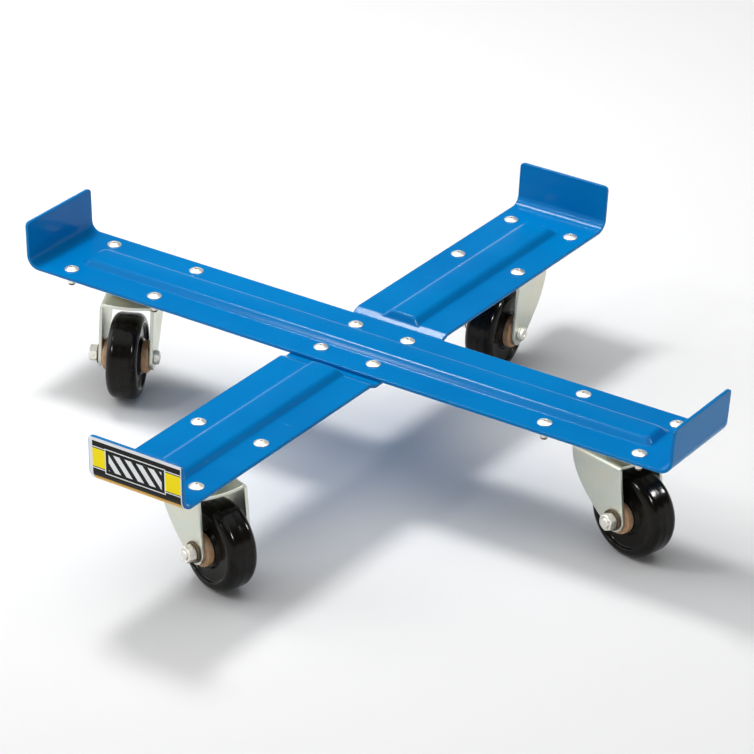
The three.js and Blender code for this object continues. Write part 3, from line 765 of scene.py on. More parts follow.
class ForkShape:
    """The outer surface of a fork in a caster's own frame."""

    def __init__(self, sizes):
        self.sizes = sizes
        self.top = CROWN_TOP
        self.shoulder = CROWN_TOP - sizes.bend
        self.under = CROWN_TOP - sizes.sheet
        wheel = node_size_along_axle("wheel")
        washer = node_size_along_axle("hub_washer_head_side")
        self.outside = wheel / 2 + washer + 2 * CLEAR + sizes.sheet
        self.nose = hypot(sizes.leg_front, self.outside)
        self.bow = (self.outside**2 + sizes.bulge**2) / (2 * sizes.bulge)
        foot = 1.5 * pi - sizes.sweep
        self.foot = Vector((AXLE.x + sizes.leg_end * cos(foot), AXLE.z + sizes.leg_end * sin(foot)))
        reach = sizes.fullness * (self.under - self.foot.y)
        slant = Vector((-cos(sizes.sweep), sin(sizes.sweep))) * reach
        head = Vector((-sizes.leg_front, self.under))
        self.front = (head, head - Vector((0, reach)), self.foot + slant, self.foot)

    def front_at(self, z):
        """Front edge of a leg at a height: a curve down to the round end, then the round end."""
        if z >= self.under:
            return self.front[0].x
        if z <= self.foot.y:
            return AXLE.x - sqrt(self.sizes.leg_end**2 - (AXLE.z - z) ** 2)
        low, high = 0.0, 1.0
        for _ in range(40):
            t = (low + high) / 2
            weights = ((1 - t) ** 3, 3 * t * (1 - t) ** 2, 3 * t * t * (1 - t), t**3)
            place = sum((p * w for p, w in zip(self.front, weights)), Vector((0, 0)))
            low, high = (t, high) if place.y > z else (low, t)
        return place.x

    def back_at(self, z):
        """Back edge of a leg at a height."""
        if z <= AXLE.z:
            return AXLE.x + sqrt(self.sizes.leg_end**2 - (AXLE.z - z) ** 2)
        part = (z - AXLE.z) / (self.under - AXLE.z)
        start = AXLE.x + self.sizes.leg_end
        return start + (self.sizes.leg_back - start) * min(part, 1)

    def crown_ends(self, y):
        """Round nose and bowed back edge of the crown."""
        back = self.sizes.leg_back + self.sizes.bulge - self.bow + sqrt(self.bow**2 - y * y)
        return -sqrt(self.nose**2 - y * y), back

    def rows(self):
        """Grid over one leg, the crown and the other leg."""
        end = self.sizes.leg_end
        heights = [AXLE.z - end * sin(radians(a)) for a in (83, 69, 56, 46, 34, 22, 10, 0)]
        heights += spread(AXLE.z + 4 * MM, self.shoulder - 1.2 * MM, 12) + [self.shoulder]
        half = []
        for z in heights:
            half.append((self.outside, z, Y, self.front_at(z), self.back_at(z)))
        bend = self.sizes.bend
        for i in range(1, 9):
            a = pi / 2 * i / 8
            y = self.outside - bend * (1 - cos(a))
            normal = Vector((0, cos(a), sin(a)))
            half.append((y, self.shoulder + bend * sin(a), normal, *self.crown_ends(y)))
        for y in (self.outside - bend - 1.5 * MM, self.outside / 2, self.outside / 4):
            half.append((y, self.top, Z, *self.crown_ends(y)))
        middle = [(0, self.top, Z, *self.crown_ends(0))]
        other = [(-y, z, Vector((0, -n.y, n.z)), a, b) for y, z, n, a, b in reversed(half)]
        grid = []
        for y, z, normal, front, back in half + middle + other:
            near = min(1.4 * MM, (back - front) * 0.28)
            inner = [front + near + (back - front - 2 * near) * part for part in (0, 0.25, 0.5, 0.75, 1)]
            grid.append([(Vector((x, y, z)), normal) for x in [front] + inner + [back]])
        return grid


def node_size_along_axle(piece):
    """Width of a piece of the left caster along its own axle."""
    side = "left"
    turn = caster_matrix(side).inverted()
    across = [(turn @ v.co).y for v in frame["nodes"][f"{side}_{piece}"].data.vertices]
    return max(across) - min(across)


def thread_corners(radius, top, bottom, pitch):
    """Side of a thread as ridges, from top to bottom, and its chamfered end on the axis."""
    corners = []
    along = top
    while along - pitch > bottom + pitch:
        corners += [(radius, along, 0), (radius - 0.3 * pitch, along - pitch / 2, 0)]
        along -= pitch
    corners += [(radius, along, 0), (radius, bottom + 0.8 * pitch, 0)]
    corners += [(radius - 0.8 * pitch, bottom, 0), (0, bottom, 0)]
    return corners


def build_forks(settings):
    """Pressed forks with the axle bolt, its nut and washer, and the sleeve between the legs."""
    sizes, bolts = settings.caster, settings.fastener
    shape = ForkShape(sizes)
    fork = sheet_mesh("caster_fork", shape.rows(), sizes.sheet, sizes.edge)
    seat = shape.outside + CLEAR
    head, head_high = bolts.axle_head / 2, bolts.axle_head_height
    nut_at = -(seat + bolts.collar_height)
    end = nut_at - bolts.axle_nut_height - bolts.thread_past
    corners = [
        (0, seat + head_high * 0.86, 0),
        (head * 0.3, seat + head_high * 0.84, 0.5 * MM),
        (head * 0.42, seat + head_high, 0.4 * MM),
        (head - 1.2 * MM, seat + head_high - 0.1 * MM, 1.2 * MM),
        (head, seat + head_high - 1.8 * MM, 0.8 * MM),
        (head, seat, 0.2 * MM),
    ]
    corners.append((bolts.shank / 2, seat, 0.1 * MM))
    thread_top = nut_at - bolts.axle_nut_height + 1 * MM
    corners += thread_corners(bolts.shank / 2, thread_top, end, bolts.thread_pitch)
    axle = turned_mesh("axle_bolt", corners, 40, axis="Y", rounding=3)
    nut = nut_mesh("axle_nut", bolts.axle_nut_flats, bolts.axle_nut_height, bolts.shank)
    collar = collar_mesh(bolts)
    sleeve = sleeve_mesh(sizes, bolts, shape.outside - sizes.sheet - CLEAR)
    zinc, bright, steel = zinc_material(settings), fastener_material(settings), pin_and_shade_material(settings)
    for side in SIDES:
        body = f"{side}_swivel"
        place = caster_matrix(side)
        axis = place @ Matrix.Translation(AXLE)
        add_piece(f"{side}_fork_pressing", fork, zinc, body, [f"{side}_fork"], place)
        add_piece(f"{side}_axle_shaft", axle, bright, body, [f"{side}_axle_bolt"], axis)
        turn = Matrix.Rotation(golden_turn(place.translation.x * 90 + place.translation.y * 50), 4, "Y")
        nut_place = axis @ Matrix.Translation((0, nut_at - bolts.axle_nut_height, 0)) @ turn
        add_piece(f"{side}_axle_nut", nut, bright, body, (), nut_place)
        collar_place = axis @ Matrix.Translation((0, nut_at, 0))
        # The washer under the nut takes the dark pin colour: painted shade behind the nut.
        add_piece(f"{side}_axle_washer_painted_shade", collar, steel, body, (), collar_place)
        add_piece(f"{side}_sleeve", sleeve, zinc, body, [f"{side}_axle_sleeve"], axis)


def collar_mesh(bolts):
    """Flat washer from y = 0 along the axle."""
    bore, rim, height = bolts.shank / 2 + 0.2 * MM, bolts.collar / 2, bolts.collar_height
    corners = [
        (bore, 0, 0.1 * MM),
        (rim, 0, 0.3 * MM),
        (rim, height, 0.3 * MM),
        (bore, height, 0.1 * MM),
    ]
    return turned_mesh("axle_washer_painted_shade", corners, 40, closed=True, axis="Y", rounding=2)


def sleeve_mesh(sizes, bolts, half):
    """Tube that the wheel turns on."""
    bore = bolts.shank / 2 + CLEAR
    rim = bore + sizes.sleeve_wall
    corners = [(bore, -half), (rim, -half), (rim, half), (bore, half)]
    return turned_mesh(
        "axle_sleeve", [(r, y, 0.25 * MM) for r, y in corners], 40, closed=True, axis="Y", rounding=2
    )


def wheel_corners(settings):
    """Half section of the moulded wheel, from the tread's middle to the hub's bore."""
    sizes, bolts = settings.caster, settings.fastener
    radius = AXLE.z
    half = node_size_along_axle("wheel") / 2
    hub = node_size("left_hub_washer_head_side").z / 2 + sizes.hub_land
    rim = radius - sizes.shoulder
    bore = bolts.shank / 2 + 2 * CLEAR + sizes.sleeve_wall
    shoulder = sizes.shoulder
    return [
        (radius, half - shoulder - 0.2 * MM, 0),
        (radius, half, shoulder * 0.98),
        (rim - 1.2 * MM, half, 1.0 * MM),
        (rim - 2.6 * MM, half - sizes.recess, 1.2 * MM),
        (hub + 2 * MM, half - sizes.recess, 1.2 * MM),
        (hub, half, 0.8 * MM),
        (bore, half, 0.3 * MM),
    ]


def build_wheels(settings):
    """Moulded wheels with the fibre washers beside their hubs."""
    sizes = settings.caster
    side_corners = wheel_corners(settings)
    seam = [(AXLE.z - 0.06 * MM, 0.35 * MM, 0), (AXLE.z, 0, 0)]
    half = seam[::-1] + side_corners
    corners = [(r, -y, rounding) for r, y, rounding in reversed(half[1:])] + half
    mesh = turned_mesh("wheel", corners, sizes.steps, closed=True, axis="Y", rounding=10)
    washer = hub_washer_mesh(settings)
    rubber, fibre = wheel_material(settings), washer_material(settings)
    near = node_size_along_axle("wheel") / 2 + CLEAR
    for side in SIDES:
        body = f"{side}_roller"
        axis = caster_matrix(side) @ Matrix.Translation(AXLE)
        add_piece(f"{side}_moulded_wheel", mesh, rubber, body, [f"{side}_wheel"], axis)
        for end, flip in (("head", 0), ("nut", pi)):
            place = axis @ Matrix.Rotation(flip, 4, "X") @ Matrix.Translation((0, near, 0))
            node = f"{side}_hub_washer_{end}_side"
            add_piece(f"{side}_fibre_washer_{end}", washer, fibre, body, [node], place)


def hub_washer_mesh(settings):
    """Fibre washer from y = 0 outwards."""
    bore = settings.fastener.shank / 2 + 2 * CLEAR + settings.caster.sleeve_wall
    low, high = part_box("left_hub_washer_head_side")
    rim, height = (high.z - low.z) / 2, node_size_along_axle("hub_washer_head_side")
    corners = [
        (bore, 0, 0.2 * MM),
        (rim, 0, 0.4 * MM),
        (rim, height - 1.6 * MM, 1.0 * MM),
        (rim - 1.8 * MM, height, 1.0 * MM),
        (bore, height, 0.2 * MM),
    ]
    return turned_mesh("fibre_washer", corners, 56, closed=True, axis="Y", rounding=4)


# ---------------------------------------------------------------- label


def label_rows(settings, rise):
    """Outer face of the label in its own frame: x along it, y up it from the bend's start, z out."""
    arm, sizes = settings.arm, settings.label
    radius = arm.bend + arm.sheet + sizes.gap + sizes.thickness
    half = node_size("end_label").x / 2
    heights = [rise, rise - 1.2 * MM, rise * 0.75, rise * 0.5, rise * 0.25, 1.2 * MM]
    rows = [(height, 0, Z) for height in heights]
    for i in range(9):
        a = sizes.wrap * i / 8
        rows.append((-radius * sin(a), radius * (cos(a) - 1), Vector((0, -sin(a), cos(a)))))
    shares = (-1, -0.98, -0.8, -0.4, 0, 0.4, 0.8, 0.98, 1)
    return [[(Vector((half * part, y, z)), normal) for part in shares] for y, z, normal in rows]


def build_label(settings):
    """Thin striped film on the outer face of the front flange and part of its bend."""
    arm, sizes = settings.arm, settings.label
    shape = ArmShape(arm, "lower_arm", stepped=True)
    rise = shape.flat - sizes.top_inset
    mesh = sheet_mesh("striped_label", label_rows(settings, rise), sizes.thickness, sizes.thickness * 0.3)
    up = Vector((0, -sin(arm.lean), cos(arm.lean)))
    out = X.cross(up)
    radius = arm.bend + arm.sheet + sizes.gap + sizes.thickness
    start = Vector((0, -shape.bend_at, shape.deck + arm.bend)) + out * radius
    place = Matrix.Translation(start) @ Matrix((X, up, out)).transposed().to_4x4()
    film = label_material(settings, rise)
    add_piece("striped_label", mesh, film, "frame", ["end_label"], place)


# ---------------------------------------------------------------- node helpers


def add_node(tree, kind, inputs=None, **settings):
    """A shader node with its settings, and its inputs set to values or linked from sockets."""
    node = tree.nodes.new(kind)
    for name, value in settings.items():
        setattr(node, name, value)
    for name, value in (inputs or {}).items():
        if isinstance(value, bpy.types.NodeSocket):
            tree.links.new(value, node.inputs[name])
        else:
            node.inputs[name].default_value = value
    return node


def math(tree, operation, first, second=0.0, third=0.0):
    values = {0: first, 1: second, 2: third}
    return add_node(tree, "ShaderNodeMath", values, operation=operation).outputs[0]


def mix_colour(tree, factor, first, second):
    """Colours or sockets mixed by a factor."""
    node = add_node(tree, "ShaderNodeMix", {"Factor": factor}, data_type="RGBA")
    for index, value in ((6, first), (7, second)):
        if isinstance(value, bpy.types.NodeSocket):
            tree.links.new(value, node.inputs[index])
        else:
            node.inputs[index].default_value = (*value, 1.0)
    return node.outputs[2]


def map_range(tree, value, low, high, to_low=0.0, to_high=1.0):
    values = {0: value, 1: low, 2: high, 3: to_low, 4: to_high}
    return add_node(tree, "ShaderNodeMapRange", values, interpolation_type="SMOOTHSTEP").outputs[0]


def new_group(name, inputs, outputs):
    """An empty shader group. inputs and outputs are (name, socket kind, default)."""
    tree = bpy.data.node_groups.new(name, "ShaderNodeTree")
    for label, kind, default in inputs:
        socket = tree.interface.new_socket(label, in_out="INPUT", socket_type=kind)
        if default is not None:
            socket.default_value = default
    for label, kind in outputs:
        tree.interface.new_socket(label, in_out="OUTPUT", socket_type=kind)
    return tree, add_node(tree, "NodeGroupInput"), add_node(tree, "NodeGroupOutput")


def built_once(build):
    """The material or group is made at the first call and found by name afterwards."""

    def found(*args):
        if build.__name__ not in built:
            built[build.__name__] = build(*args)
        return built[build.__name__]

    return found


built = {}


# ---------------------------------------------------------------- shared effects


@built_once
def mottling():
    """Cloudy change of colour over a surface, with the mask that made it."""
    tree, inside, out = new_group(
        "mottling",
        [
            ("Vector", "NodeSocketVector", None),
            ("Colour", "NodeSocketColor", None),
            ("Other colour", "NodeSocketColor", None),
            ("Scale", "NodeSocketFloat", 20.0),
            ("Spread", "NodeSocketFloat", 0.15),
        ],
        [("Colour", "NodeSocketColor"), ("Mask", "NodeSocketFloat")],
    )
    noise = add_node(
        tree,
        "ShaderNodeTexNoise",
        {
            "Vector": inside.outputs["Vector"],
            "Scale": inside.outputs["Scale"],
            "Detail": 4.0,
            "Roughness": 0.55,
        },
    )
    spread_out = inside.outputs["Spread"]
    low = math(tree, "SUBTRACT", 0.5, spread_out)
    high = math(tree, "ADD", 0.5, spread_out)
    mask = map_range(tree, noise.outputs["Fac"], low, high)
    mixed = mix_colour(tree, mask, inside.outputs["Colour"], inside.outputs["Other colour"])
    tree.links.new(mixed, out.inputs["Colour"])
    tree.links.new(mask, out.inputs["Mask"])
    return tree


@built_once
def fine_grain():
    """Height of a fine grain: a soft texture of one size with a finer one on it, from 0 to 1."""
    tree, inside, out = new_group(
        "fine grain",
        [
            ("Vector", "NodeSocketVector", None),
            ("Scale", "NodeSocketFloat", 600.0),
            ("Fine share", "NodeSocketFloat", 0.3),
        ],
        [("Height", "NodeSocketFloat")],
    )
    soft = add_node(
        tree,
        "ShaderNodeTexNoise",
        {"Vector": inside.outputs["Vector"], "Scale": inside.outputs["Scale"], "Detail": 1.0},
    )
    finer = math(tree, "MULTIPLY", inside.outputs["Scale"], 4.3)
    fine = add_node(
        tree, "ShaderNodeTexNoise", {"Vector": inside.outputs["Vector"], "Scale": finer, "Detail": 2.0}
    )
    high = math(tree, "MULTIPLY", fine.outputs["Fac"], inside.outputs["Fine share"])
    tree.links.new(math(tree, "ADD", soft.outputs["Fac"], high), out.inputs["Height"])
    return tree


@built_once
def handling_marks():
    """Mask of sparse fine scratches that run mostly one way, and of soft rubbed patches."""
    tree, inside, out = new_group(
        "handling marks",
        [
            ("Vector", "NodeSocketVector", None),
            ("Scratch scale", "NodeSocketFloat", 60.0),
            ("Patch scale", "NodeSocketFloat", 12.0),
            ("Amount", "NodeSocketFloat", 0.5),
        ],
        [("Scratches", "NodeSocketFloat"), ("Patches", "NodeSocketFloat")],
    )
    stretched = add_node(
        tree,
        "ShaderNodeMapping",
        {"Vector": inside.outputs["Vector"], "Rotation": (0.0, 0.0, 0.5), "Scale": (0.12, 2.4, 1.0)},
    )
    lines = add_node(
        tree,
        "ShaderNodeTexNoise",
        {
            "Vector": stretched.outputs[0],
            "Scale": inside.outputs["Scratch scale"],
            "Detail": 3.0,
            "Roughness": 0.7,
            "Distortion": 0.4,
        },
    )
    thin = map_range(tree, lines.outputs["Fac"], 0.66, 0.72)
    patches = add_node(
        tree,
        "ShaderNodeTexNoise",
        {"Vector": inside.outputs["Vector"], "Scale": inside.outputs["Patch scale"], "Detail": 5.0},
    )
    soft = map_range(tree, patches.outputs["Fac"], 0.45, 0.72)
    amount = inside.outputs["Amount"]
    rubbed = math(tree, "MULTIPLY", thin, soft)
    tree.links.new(math(tree, "MULTIPLY", rubbed, amount), out.inputs["Scratches"])
    tree.links.new(math(tree, "MULTIPLY", soft, amount), out.inputs["Patches"])
    return tree


def effect(tree, group, vector, **values):
    """A shared effect placed in a material. A colour is given as three numbers."""
    node = add_node(tree, "ShaderNodeGroup", node_tree=group)
    tree.links.new(vector, node.inputs["Vector"])
    for name, value in values.items():
        value = (*value, 1.0) if hasattr(value, "__len__") else value
        node.inputs[name.replace("_", " ").capitalize()].default_value = value
    return node


class Finish:
    """A new material: its shader, its own coordinates and the links into them."""

    def __init__(self, name, **shader_values):
        self.material = bpy.data.materials.new(name)
        self.material.use_nodes = True
        self.tree = self.material.node_tree
        self.tree.nodes.clear()
        output = add_node(self.tree, "ShaderNodeOutputMaterial")
        self.shader = add_node(self.tree, "ShaderNodeBsdfPrincipled")
        self.tree.links.new(self.shader.outputs[0], output.inputs[0])
        for label, value in shader_values.items():
            self.shader.inputs[label.replace("_", " ")].default_value = value
        self.place = add_node(self.tree, "ShaderNodeTexCoord").outputs["Object"]

    def link(self, socket, name):
        self.tree.links.new(socket, self.shader.inputs[name])

    def clouds(self, colour, other, scale, spread):
        values = {"colour": colour, "other_colour": other, "scale": scale, "spread": spread}
        return effect(self.tree, mottling(), self.place, **values).outputs

    def marks(self, scratch_scale, patch_scale, amount):
        values = {"scratch_scale": scratch_scale, "patch_scale": patch_scale, "amount": amount}
        return effect(self.tree, handling_marks(), self.place, **values).outputs

    def roughness(self, mask, change, least):
        """Roughness that grows by the change where the mask is 1."""
        self.link(math(self.tree, "MULTIPLY_ADD", mask, change, least), "Roughness")

    def grain(self, scale, fine_share, height):
        """Bump of a fine grain that stands the height proud, in metres."""
        grain = effect(self.tree, fine_grain(), self.place, scale=scale, fine_share=fine_share)
        values = {"Height": grain.outputs["Height"], "Distance": height, "Strength": 1.0}
        self.link(add_node(self.tree, "ShaderNodeBump", values).outputs[0], "Normal")


# ---------------------------------------------------------------- finishes


@built_once
def paint_material(settings):
    """Glossy blue powder coat with a faint orange peel."""
    colours = settings.finish
    finish = Finish("blue powder coat", Metallic=0.0, IOR=1.5, Specular_IOR_Level=0.13)
    clouds = finish.clouds(colours.paint, colours.paint_deep, 9.0, 0.2)
    marks = finish.marks(55.0, 14.0, 0.6)
    lighter = mix_colour(finish.tree, marks["Scratches"], clouds["Colour"], colours.paint_scratched)
    finish.link(lighter, "Base Color")
    dulled = math(finish.tree, "MULTIPLY_ADD", marks["Patches"], 0.08, 0.16)
    finish.roughness(marks["Scratches"], 0.2, dulled)
    finish.grain(420.0, 0.25, 0.05 * MM)
    return finish.material


@built_once
def zinc_material(settings):
    """Satin zinc plating with cloudy passivation and a faint rolled grain."""
    colours = settings.finish
    finish = Finish("zinc plating", Metallic=1.0)
    clouds = finish.clouds(colours.zinc, colours.zinc_warm, 70.0, 0.2)
    marks = finish.marks(160.0, 60.0, 0.8)
    rubbed = mix_colour(finish.tree, marks["Scratches"], clouds["Colour"], colours.zinc_scratched)
    finish.link(rubbed, "Base Color")
    base = math(finish.tree, "MULTIPLY_ADD", clouds["Mask"], 0.08, 0.34)
    finish.roughness(marks["Patches"], 0.1, base)
    finish.grain(900.0, 0.5, 0.04 * MM)
    return finish.material


def plain_material(name, metallic, colour, other, clouds, roughness, grain):
    """Cloudy finish that is rougher where the second colour shows."""
    finish = Finish(name, Metallic=metallic)
    mottled = finish.clouds(colour, other, *clouds)
    finish.link(mottled["Colour"], "Base Color")
    finish.roughness(mottled["Mask"], *roughness)
    finish.grain(*grain)
    return finish.material


@built_once
def fastener_material(settings):
    """Bright plating of rivets, bolts and nuts, a little rubbed."""
    bright, worn = settings.finish.bright_zinc, settings.finish.bright_zinc_worn
    grain = (1800.0, 0.5, 0.03 * MM)
    return plain_material("bright plating", 1.0, bright, worn, (260.0, 0.3), (0.12, 0.38), grain)


@built_once
def pin_and_shade_material(settings):
    """Dark steel of a rivet's pin, also laid on the washers under the axle nuts as painted shade behind the nuts.
    """
    steel = settings.finish.pin
    darker = tuple(0.5 * c for c in steel)
    grain = (1600.0, 0.6, 0.08 * MM)
    return plain_material("pin steel and painted shade", 1.0, steel, darker, (500.0, 0.2), (0.15, 0.4), grain)


@built_once
def washer_material(settings):
    """Brown laminated fibre: fine speckle and pale fibres."""
    brown, pale = settings.finish.washer, settings.finish.washer_pale
    grain = (1500.0, 0.6, 0.08 * MM)
    return plain_material("brown fibre", 0.0, brown, pale, (240.0, 0.25), (0.15, 0.5), grain)


@built_once
def wheel_material(settings):
    """Hard black moulding, glossy, with faint rolled patches."""
    colours = settings.finish
    finish = Finish("black moulding", Metallic=0.0, IOR=1.5, Specular_IOR_Level=0.16)
    clouds = finish.clouds(colours.wheel, colours.wheel_worn, 60.0, 0.3)
    finish.link(clouds["Colour"], "Base Color")
    finish.roughness(finish.marks(120.0, 40.0, 0.7)["Patches"], 0.1, 0.14)
    finish.grain(500.0, 0.3, 0.03 * MM)
    return finish.material


def band(tree, along, low, high):
    """1 between two places along an axis and 0 outside them."""
    above = math(tree, "GREATER_THAN", along, low)
    below = math(tree, "LESS_THAN", along, high)
    return math(tree, "MULTIPLY", above, below)


@built_once
def label_material(settings, rise):
    """Printed film: black ground, yellow band, pale lines, a block of slanting stripes, amber foot."""
    sizes, colours = settings.label, settings.finish
    finish = Finish("striped film", Metallic=0.0, IOR=1.5, Specular_IOR_Level=0.15)
    tree = finish.tree
    split = add_node(tree, "ShaderNodeSeparateXYZ", {0: finish.place})
    along, up = split.outputs[0], split.outputs[1]
    half = node_size("end_label").x / 2
    left, right = -half + sizes.border_left, half - sizes.border
    low = -half

    def inside(start_x, end_x, start, end):
        return math(tree, "MULTIPLY", band(tree, along, start_x, end_x), band(tree, up, start, end))

    field = inside(left, right, low, rise - sizes.border_top)
    printed = mix_colour(tree, field, colours.label_pale, colours.label_black)
    band_area = inside(left, right, sizes.band_low, sizes.band_high)
    printed = mix_colour(tree, band_area, printed, colours.label_yellow)
    for start in (sizes.band_high + sizes.line_gap, sizes.band_low - sizes.line_gap - sizes.line):
        line = inside(left, right, start, start + sizes.line)
        printed = mix_colour(tree, line, printed, colours.label_pale)
    lean, black_share, whole_metre = 0.8, 0.45, 1.0
    slant = math(tree, "MULTIPLY_ADD", up, lean, along)
    repeat = math(tree, "DIVIDE", math(tree, "ADD", slant, whole_metre), sizes.stripe)
    pale = math(tree, "GREATER_THAN", math(tree, "FRACT", repeat), black_share)
    stripes = mix_colour(tree, pale, colours.label_black, colours.label_pale)
    block, edge = sizes.block, sizes.line
    outline = inside(-block - edge, block + edge, sizes.block_low - edge, sizes.block_high + edge)
    printed = mix_colour(tree, outline, printed, colours.label_pale)
    ground = inside(-block, block, sizes.block_low, sizes.block_high)
    printed = mix_colour(tree, ground, printed, colours.label_black)
    inset = 3 * edge
    striped = inside(-block + inset, block - inset, sizes.block_low + inset, sizes.block_high - inset)
    printed = mix_colour(tree, striped, printed, stripes)
    foot = inside(left, right, low, -sizes.strip)
    printed = mix_colour(tree, foot, printed, colours.label_amber)
    marks = finish.marks(200.0, 60.0, 0.7)
    finish.link(mix_colour(tree, marks["Scratches"], printed, colours.label_scratched), "Base Color")
    finish.roughness(marks["Patches"], 0.2, 0.3)
    finish.grain(500.0, 0.3, 0.03 * MM)
    return finish.material


@built_once
def floor_material(settings):
    """Pale matt studio floor."""
    colours = settings.finish
    finish = Finish("studio floor", Metallic=0.0, Specular_IOR_Level=0.1)
    pale = tuple(colours.floor)
    clouds = finish.clouds(pale, tuple(0.985 * c for c in pale), 1.5, 0.3)
    finish.link(clouds["Colour"], "Base Color")
    finish.roughness(clouds["Mask"], 0.05, 0.85)
    return finish.material


# ---------------------------------------------------------------- stage


def add_light(name, place, target, size, power):
    """A rectangular light that faces a point."""
    lamp = bpy.data.lights.new(name, "AREA")
    lamp.shape = "RECTANGLE"
    lamp.size, lamp.size_y = size
    lamp.energy = power
    light = bpy.data.objects.new(name, lamp)
    bpy.context.scene.collection.objects.link(light)
    towards = Vector(target) - Vector(place)
    light.matrix_world = Matrix.Translation(place) @ towards.to_track_quat("-Z", "Y").to_matrix().to_4x4()
    return light


def add_floor(settings):
    bm = bmesh.new()
    reach = 6.0
    outline = [(-reach, -reach), (reach, -reach), (reach, reach), (-reach, reach)]
    bm.faces.new([bm.verts.new((x, y, 0)) for x, y in outline])
    mesh = bpy.data.meshes.new("studio_floor")
    bm.to_mesh(mesh)
    bm.free()
    mesh.materials.append(floor_material(settings))
    floor = bpy.data.objects.new("studio_floor", mesh)
    bpy.context.scene.collection.objects.link(floor)


def add_room(stage):
    """Soft light from the room: pale low walls, dim above them, and a softly lit ceiling."""
    world = bpy.data.worlds.new("room")
    world.use_nodes = True
    tree = world.node_tree
    place = add_node(tree, "ShaderNodeTexCoord").outputs["Generated"]
    height = add_node(tree, "ShaderNodeSeparateXYZ", {0: place}).outputs[2]
    walls = map_range(tree, height, sin(radians(11)), sin(radians(21)), stage.walls, stage.dim)
    ceiling = map_range(tree, height, sin(radians(45)), sin(radians(65)), 0.0, stage.ceiling - stage.dim)
    towards = {0: place, 1: Vector((-0.82, -0.33, 0.46)).normalized()}
    facing = add_node(tree, "ShaderNodeVectorMath", towards, operation="DOT_PRODUCT").outputs["Value"]
    patch = map_range(tree, facing, 0.9, 0.98, 0.0, stage.patch)
    level = math(tree, "ADD", math(tree, "ADD", walls, ceiling), patch)
    background = tree.nodes["Background"]
    background.inputs["Color"].default_value = (1.0, 1.0, 1.0, 1.0)
    tree.links.new(level, background.inputs["Strength"])
    bpy.context.scene.world = world


def add_camera(stage):
    """Camera that looks at the aim point from its direction, turned by its roll."""
    turn, rise = stage.azimuth, stage.elevation
    away = Vector((sin(turn) * cos(rise), -cos(turn) * cos(rise), sin(rise)))
    right = Vector((cos(turn), sin(turn), 0))
    up = away.cross(right)
    rolled_right = right * cos(stage.roll) + up * sin(stage.roll)
    rolled_up = up * cos(stage.roll) - right * sin(stage.roll)
    data = bpy.data.cameras.new("camera")
    data.lens = stage.lens
    data.sensor_width = 36.0
    data.clip_start, data.clip_end = 0.1, 50.0
    camera = bpy.data.objects.new("camera", data)
    bpy.context.scene.collection.objects.link(camera)
    place = Vector(stage.aim) + away * stage.distance
    turned = Matrix((rolled_right, rolled_up, away)).transposed().to_4x4()
    camera.matrix_world = Matrix.Translation(place) @ turned
    bpy.context.scene.camera = camera


# ---------------------------------------------------------------- operators


class DOLLY_OT_stage(Operator):
    """Set up the floor, lights and camera"""

    bl_idname = "dolly.stage"
    bl_label = "Stage"
    bl_options = {"REGISTER", "UNDO"}

    def execute(self, context):
        settings = context.scene.dolly
        stage = settings.stage
        add_floor(settings)
        add_room(stage)
        add_light("overhead_softbox", (-0.72, 0.32, 1.5), (0, 0, 0.1), (0.4, 0.31), stage.overhead)
        add_light("key_light", (-0.77, -0.78, 1.28), (0, 0, 0.1), (0.15, 0.15), stage.key)
        for name, place in (
            ("side_window", (1.2, -0.5, 1.1)),
            ("far_window", (1.2, 0.75, 1.1)),
            ("front_window", (-0.5, -1.5, 1.1)),
        ):
            window = add_light(name, place, (0, 0, 0.05), (0.12, 0.26), stage.window)
            window.visible_diffuse = False
        add_camera(stage)
        context.scene.view_settings.view_transform = "Standard"
        return {"FINISHED"}


class DOLLY_OT_arms(Operator):
    """Build the two pressed arms"""

    bl_idname = "dolly.arms"
    bl_label = "Arms"
    bl_options = {"REGISTER", "UNDO"}

    def execute(self, context):
        settings = context.scene.dolly
        build_arm(settings, "upper_arm", stepped=False)
        build_arm(settings, "lower_arm", stepped=True)
        return {"FINISHED"}


class DOLLY_OT_deck_rivets(Operator):
    """Build the rivets that hold the arms and the casters"""

    bl_idname = "dolly.deck_rivets"
    bl_label = "Deck Rivets"
    bl_options = {"REGISTER", "UNDO"}

    def execute(self, context):
        names = [f"centre_rivet_{i}" for i in range(1, 5)]
        names += [f"{side}_plate_rivet_{i}" for side in SIDES for i in range(1, 5)]
        build_deck_rivets(context.scene.dolly, names)
        return {"FINISHED"}


class DOLLY_OT_plates(Operator):
    """Build the casters' top plates, swivel races and kingpins"""

    bl_idname = "dolly.plates"
    bl_label = "Caster Plates"
    bl_options = {"REGISTER", "UNDO"}

    def execute(self, context):
        build_plates(context.scene.dolly)
        return {"FINISHED"}


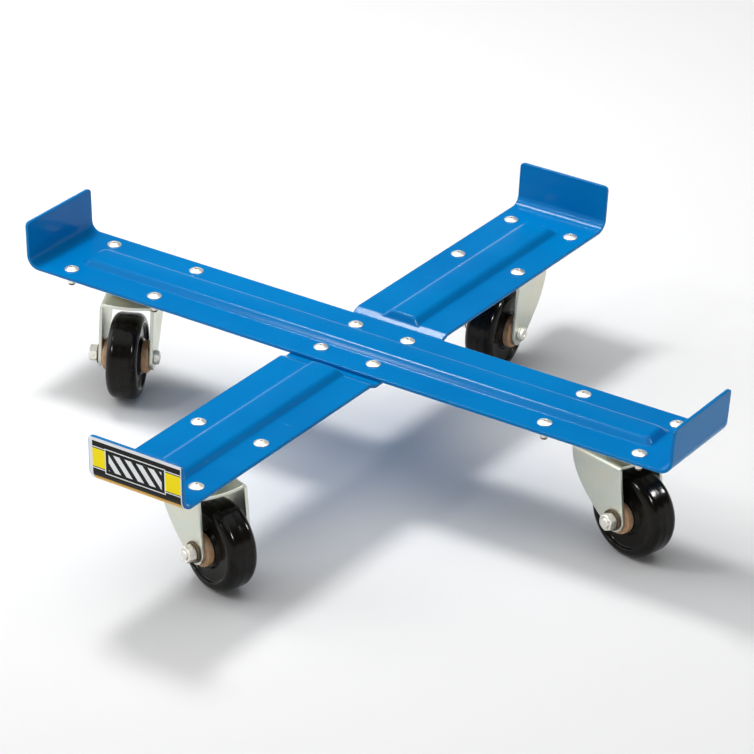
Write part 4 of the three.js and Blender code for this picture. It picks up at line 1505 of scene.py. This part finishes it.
class DOLLY_OT_forks(Operator):
    """Build the casters' forks with their axle bolts, nuts, washers and sleeves"""

    bl_idname = "dolly.forks"
    bl_label = "Forks and Axles"
    bl_options = {"REGISTER", "UNDO"}

    def execute(self, context):
        build_forks(context.scene.dolly)
        return {"FINISHED"}


class DOLLY_OT_wheels(Operator):
    """Build the wheels and their fibre washers"""

    bl_idname = "dolly.wheels"
    bl_label = "Wheels"
    bl_options = {"REGISTER", "UNDO"}

    def execute(self, context):
        build_wheels(context.scene.dolly)
        return {"FINISHED"}


class DOLLY_OT_label(Operator):
    """Build the striped label"""

    bl_idname = "dolly.label"
    bl_label = "Label"
    bl_options = {"REGISTER", "UNDO"}

    def execute(self, context):
        build_label(context.scene.dolly)
        return {"FINISHED"}


OPERATORS = (
    DOLLY_OT_stage,
    DOLLY_OT_arms,
    DOLLY_OT_deck_rivets,
    DOLLY_OT_plates,
    DOLLY_OT_forks,
    DOLLY_OT_wheels,
    DOLLY_OT_label,
)


class DOLLY_PT_panel(Panel):
    """Lists the sizes, the finishes and the operators"""

    bl_idname = "DOLLY_PT_panel"
    bl_label = "Wheel Dolly"
    bl_space_type = "VIEW_3D"
    bl_region_type = "UI"
    bl_category = "Dolly"

    def draw(self, context):
        settings = context.scene.dolly
        for operator in OPERATORS:
            self.layout.operator(operator.bl_idname)
        for name in SETTINGS:
            box = self.layout.box()
            box.label(text=name.capitalize())
            group = getattr(settings, name)
            for prop in group.bl_rna.properties:
                if prop.identifier not in ("rna_type", "name"):
                    box.prop(group, prop.identifier)


CLASSES = (*SETTINGS.values(), DollySettings, *OPERATORS, DOLLY_PT_panel)


def register():
    for cls in CLASSES:
        bpy.utils.register_class(cls)
    bpy.types.Scene.dolly = PointerProperty(type=DollySettings)


def unregister():
    del bpy.types.Scene.dolly
    for cls in reversed(CLASSES):
        bpy.utils.unregister_class(cls)


def main():
    register()
    for operator in OPERATORS:
        group, name = operator.bl_idname.split(".")
        getattr(getattr(bpy.ops, group), name)()


if __name__ == "__main__":
    main()
